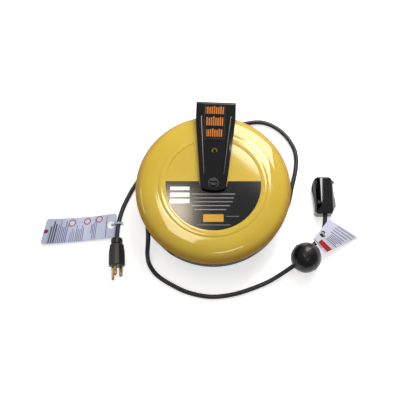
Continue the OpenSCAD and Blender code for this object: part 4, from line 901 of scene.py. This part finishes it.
def card_outline(corners, radius, margin=0.3, steps=6):
    """The outline of a card seen from above, set in by a margin, with round corners."""
    flat = [Vector(c[:2]) for c in corners]
    area = sum(a.x * b.y - b.x * a.y for a, b in zip(flat, flat[1:] + flat[:1]))
    flat = flat if area > 0 else flat[::-1]
    outline = []
    for before, here, after in zip(flat[-1:] + flat[:-1], flat, flat[1:] + flat[:1]):
        back, ahead = (here - before).normalized(), (after - here).normalized()
        turn = math.atan2(back.x * ahead.y - back.y * ahead.x, back.dot(ahead))
        inward = Vector((-back.y, back.x)) + Vector((-ahead.y, ahead.x))
        reach = (radius + margin) / math.cos(turn / 2)
        centre = here + inward.normalized() * reach
        start = math.atan2(-back.x, back.y)
        outline += [(centre.x + radius * math.cos(start + turn * i / steps),
                     centre.y + radius * math.sin(start + turn * i / steps))
                    for i in range(steps + 1)]
    return outline


def card(name, corners, wave, curl, size, hole, corner_radius):
    """A thin sheet with a wave and a curl; size is its printed length and width."""
    nu, nv = CARD_COLUMNS, CARD_ROWS
    points, uvs = [], []
    for level in (CARD_LIFT, CARD_LIFT + CARD_THICK):
        for i in range(nu + 1):
            for j in range(nv + 1):
                middle = card_point(corners, wave, curl, i / nu, j / nv)
                points.append((middle + Vector((0, 0, level))) * MM)
                uvs.append((size[0] * MM * i / nu, size[1] * MM * j / nv))
    row, top = nv + 1, (nu + 1) * (nv + 1)
    cells = [(i * row + j, i * row + j + 1, (i + 1) * row + j + 1, (i + 1) * row + j)
             for i in range(nu) for j in range(nv)]
    faces = cells + [tuple(top + k for k in cell) for cell in cells]
    rim = (list(range(nv)) + [i * row + nv for i in range(nu)]
           + [nu * row + j for j in range(nv, 0, -1)] + [i * row for i in range(nu, 0, -1)])
    faces += [(a, b, top + b, top + a) for a, b in zip(rim, rim[1:] + rim[:1])]
    made = mesh_object(name, points, faces)
    layer = made.data.uv_layers.new(name="print")
    for loop in made.data.loops:
        layer.data[loop.index].uv = uvs[loop.vertex_index]
    carve(made, [prism(card_outline(corners, corner_radius), CUT_LOW, CUT_HIGH)], "INTERSECT")
    return carve(made, [prism(circle(hole[2], 48, hole[0], hole[1]), CUT_LOW, CUT_HIGH)])


# Corners in order round each tag, then wave, curl, printed size, hole (x, y, radius), corner radius
SUPPLY_TAG = [(-156, -30, 9), (-156, -71.5, 6.5), (-278.5, -89, 8), (-270.5, -44.5, 9)]
OUTPUT_TAG = [(190.5, -29.5, 16.8), (163, -67.5, 25.2), (183.4, -87.6, 12), (241, -55.5, 2.5)]
supply_card = card("supply_card", SUPPLY_TAG, -5, 0, (120, 44), (-164.7, -50.2, 6), 4)
output_card = card("output_card", OUTPUT_TAG, 1.5, 3, (58, 48), (180.3, -56.5, 5.5), 1.5)

# %% Printing on the left tag
supply_film = finish("supply_film", (204, 210, 233), (196, 202, 227), 0.6, 0.06, 30, 900, 0.03,
                     Specular_IOR_Level=0.1)
print_at = print_frame(supply_film, source="UV")
# Painted shade: the film turns darker and bluer towards its far end, which tilts away from the
# light
far_end_shade = field_mask(supply_film, print_at, 98, 300, -100, 200, 1, 90)
paint_over(supply_film, far_end_shade, (150, 160, 192))


def text_block(material, x0, x1, y0, y1, pitch, fill, ragged, colour, across):
    """Plain rows across or along a tag; x runs along it and y across it, in millimetres."""
    start = (x0, y1, -90) if across else (x0, y0, 0)
    length = y1 - y0 if across else x1 - x0
    lines = place_group(material.node_tree, rows, print_frame(material, *start, "UV"),
                        Pitch=pitch * MM, Fill=fill, Length=length * MM, Ragged=ragged)
    block = field_mask(material, print_frame(material, source="UV"), x0, x1, y0, y1, 0.1, 0.1)
    paint_over(material, both_masks(material, lines, block), colour)


def disc_mask(material, frame_vector, x, y, radius):
    """A mask that is 1 in a disc: a square field with its corners rounded until they meet."""
    return field_mask(material, frame_vector, x - radius, x + radius, y - radius, y + radius,
                      radius, 0.5)


# Each block: its box, the pitch of its rows, the share that is printed, raggedness, colour
for x0, x1, y0, y1, pitch, fill, ragged, colour in (
        (16.5, 18.8, 2.5, 41, 2.3, 0.45, 0.0, (84, 86, 112)),
        (33.5, 41, 4, 41, 2.6, 0.46, 0.3, (112, 116, 152)),
        (41.2, 43.2, 15, 31, 2.2, 0.5, 0.0, (72, 76, 106)),
        (54, 67, 14, 43, 2.8, 0.45, 0.3, (108, 112, 148)),
        (69, 77, 18, 43, 2.8, 0.40, 0.3, (120, 124, 158)),
        (81, 99, 4, 42.5, 2.9, 0.46, 0.35, (92, 96, 136)),
        (99.5, 111, 3, 42, 3.7, 0.60, 0.3, (58, 58, 82))):
    text_block(supply_film, x0, x1, y0, y1, pitch, fill, ragged, colour, across=True)
RING_WIDTH = 1.7
for x, y, radius in ((30.1, 7.2, 5.8), (50.2, 8.8, 5.8), (75.4, 9.6, 6.2)):
    for reach, colour in ((radius, (168, 44, 62)), (radius - RING_WIDTH, (206, 210, 230))):
        paint_over(supply_film, disc_mask(supply_film, print_at, x, y, reach), colour)
paint_over(supply_film, disc_mask(supply_film, print_at, 115.8, 21.6, 3.4), (140, 30, 44))
fit(supply_card, "reel", "tag_film", supply_film, "supply_tag")

# %% Printing on the right tag
output_film = finish("output_film", (219, 221, 239), (211, 213, 235), 0.6, 0.06, 30, 900, 0.03,
                     Specular_IOR_Level=0.1)
print_at = print_frame(output_film, source="UV")
for x0, x1, y0, y1, pitch, fill, ragged, colour in (
        (19, 56, 3, 19, 4.6, 0.26, 0.15, (96, 100, 124)),
        (24, 56, 20, 33, 2.5, 0.46, 0.25, (110, 114, 140)),
        (4, 40, 45.0, 47, 2.0, 0.6, 0.0, (110, 112, 130))):
    text_block(output_film, x0, x1, y0, y1, pitch, fill, ragged, colour, across=False)
red_bar = field_mask(output_film, print_at, 18.5, 56.5, 36.8, 44.2, 0.3)
paint_over(output_film, red_bar, (186, 44, 46))
fit(output_card, "reel", "tag_film", output_film, "output_tag")


# %% Straps of the tags
STRAP_STEPS = 72
# The band's inner and outer face: radius round the lead, radius round the edge of the hole
BAND_FACES = ((CORD_RADIUS + 0.6, 0.9), (CORD_RADIUS + 1.8, 2.0))
# The band's cross-section: share of the way from the inner to the outer face, and height
BAND_SECTION = ((0.0, -1.1), (0.25, -1.5), (0.75, -1.5), (1.0, -1.1), (1.0, 1.1), (0.75, 1.5),
                (0.25, 1.5), (0.0, 1.1))
HEAD_IN, HEAD_OUT = CORD_RADIUS + 0.8, CORD_RADIUS + 4.0
HEAD_HALF, HEAD_CORNER, HEAD_H = 2.0, 0.6, 4.4


def strap(name, at, turn, reach):
    """A closed nylon band round the lead and through the hole, with its square head."""
    place = shifted(*at) @ turned(turn) @ turned(90, "X")
    far = Vector(reach)
    points = []
    for i in range(STRAP_STEPS):
        a = 2 * math.pi * i / STRAP_STEPS
        ray = Vector((math.cos(a), math.sin(a)))
        inner, outer = (far + ray * far_r if far.dot(ray) + far_r > near_r else ray * near_r
                        for near_r, far_r in BAND_FACES)
        for share, height in BAND_SECTION:
            p = inner.lerp(outer, share)
            points.append(place @ (Vector((p.x, p.y, height)) * MM))
    made = mesh_object(name, points, skin_faces(STRAP_STEPS, len(BAND_SECTION), closed=True))
    x0, x1, y, c = HEAD_IN, HEAD_OUT, HEAD_HALF, HEAD_CORNER
    head = prism([(x0, c - y), (x0 + c, -y), (x1 - c, -y), (x1, c - y), (x1, y - c), (x1 - c, y),
                  (x0 + c, y), (x0, y - c)], -HEAD_H / 2, HEAD_H / 2, place)
    return carve(made, [head], "UNION")


for name, at, turn, reach, node in (
        ("supply_strap", (-152.3, -48.5, 10.4), 5, (-11, -5), "supply_tag_tie"),
        ("output_strap", (180, -55.5, 11.5), -35, (0, 10), "output_tag_tie")):
    fit(strap(name, at, turn, reach), "reel", "white_plastic", finishes["white_nylon"], node)

# %% [markdown]
# ## Label and arm
# The label is a printed half disc: dark film with three pale plain fields, a plain amber bar
# and a few pale rules. It is a copy of its CAD node, trimmed to a finer circle. The arm of the
# bracket is a rounded copy too, and carries three plain orange blocks inside a thin frame.

# %% Label
LABEL_R, LABEL_TURN = 75.2, 2.2
label_film = finish("label_film", (24, 25, 29), (19, 20, 23), 0.5, 0.06, 30, 1500, 0.06,
                    Coat_Weight=1.0, Coat_Roughness=0.11, Coat_IOR=1.5, Specular_IOR_Level=0.0)
label_at = print_frame(label_film, angle=LABEL_TURN)
# Each colour and the boxes that it fills: pale fields, amber bar, pale rules, fainter rules
label_print = (
    ((236, 236, 240), ((-68, -37.5, -3.5, -9.8), (-68, -37.5, -13.3, -20.5),
                       (-68, -37.5, -23.9, -31))),
    ((214, 162, 52), ((-16, 15.6, -49.2, -61.5),)),
    ((150, 150, 158), ((-34, 34, -15.2, -16.6), (-30, 32, -21.6, -23.0), (-32, 30, -28.0, -29.4),
                       (-34, 26, -34.4, -35.8), (-30, 20, -40.8, -42.2))),
    ((120, 120, 128), ((20, 40, -52.0, -53.2), (-26, 26, -66.0, -67.2))))
for colour, boxes in label_print:
    for x0, x1, y0, y1 in boxes:
        paint_over(label_film, field_mask(label_film, label_at, x0, x1, y0, y1), colour)
label_sheet = rounded("label", 0.06)
carve(label_sheet, [prism(circle(LABEL_R, 192), FRONT_Z - 1, FRONT_Z + 2)], "INTERSECT")
fit(label_sheet, "reel", "label_film", label_film, "label")

# %% Arm
PRINTED_FROM_Z = 89.4
arm_enamel = finish("arm_enamel", (15, 15, 16), (10, 10, 11), 0.5, 0.10, 40, 1200, 0.10,
                    Coat_Weight=1.0, Coat_Roughness=0.05, Coat_IOR=1.6, Specular_IOR_Level=0.0)
arm_at = print_frame(arm_enamel)
parts = arm_enamel.node_tree.nodes.new("ShaderNodeSeparateXYZ")
arm_enamel.node_tree.links.new(arm_at, parts.inputs[0])
upper = math_node(arm_enamel.node_tree, "GREATER_THAN", parts.outputs["Z"], PRINTED_FROM_Z * MM)
for bounds, corner, colour in (((-18.2, 15.0, 74.8, 134.5), 1.5, (58, 62, 62)),
                               ((-17.5, 14.3, 75.5, 133.8), 1.2, (13, 13, 14))):
    area = field_mask(arm_enamel, arm_at, *bounds, corner)
    paint_over(arm_enamel, both_masks(arm_enamel, area, upper), colour)
for x0, x1, y0, y1 in ((-16.4, 12.8, 131.6, 117.8), (-15.6, 12.2, 113.4, 97.6),
                       (-14.6, 11.2, 92.4, 78.4)):
    block = both_masks(arm_enamel, field_mask(arm_enamel, arm_at, x0, x1, y0, y1, 0.6), upper)
    strokes = place_group(arm_enamel.node_tree, rows, print_frame(arm_enamel, x1, y1, 90),
                          Pitch=3.55 * MM, Fill=0.62, Length=(y0 - y1) * MM, Ragged=0.16)
    paint_over(arm_enamel, both_masks(arm_enamel, block, strokes), (204, 118, 52))
fit(rounded("swivel_bracket", 0.4), "bracket", "black_paint", arm_enamel, "swivel_bracket")

# %% [markdown]
# ## Finish the scene
# The last step finds the box that the finished object fills.

# %% Sizes
low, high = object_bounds()
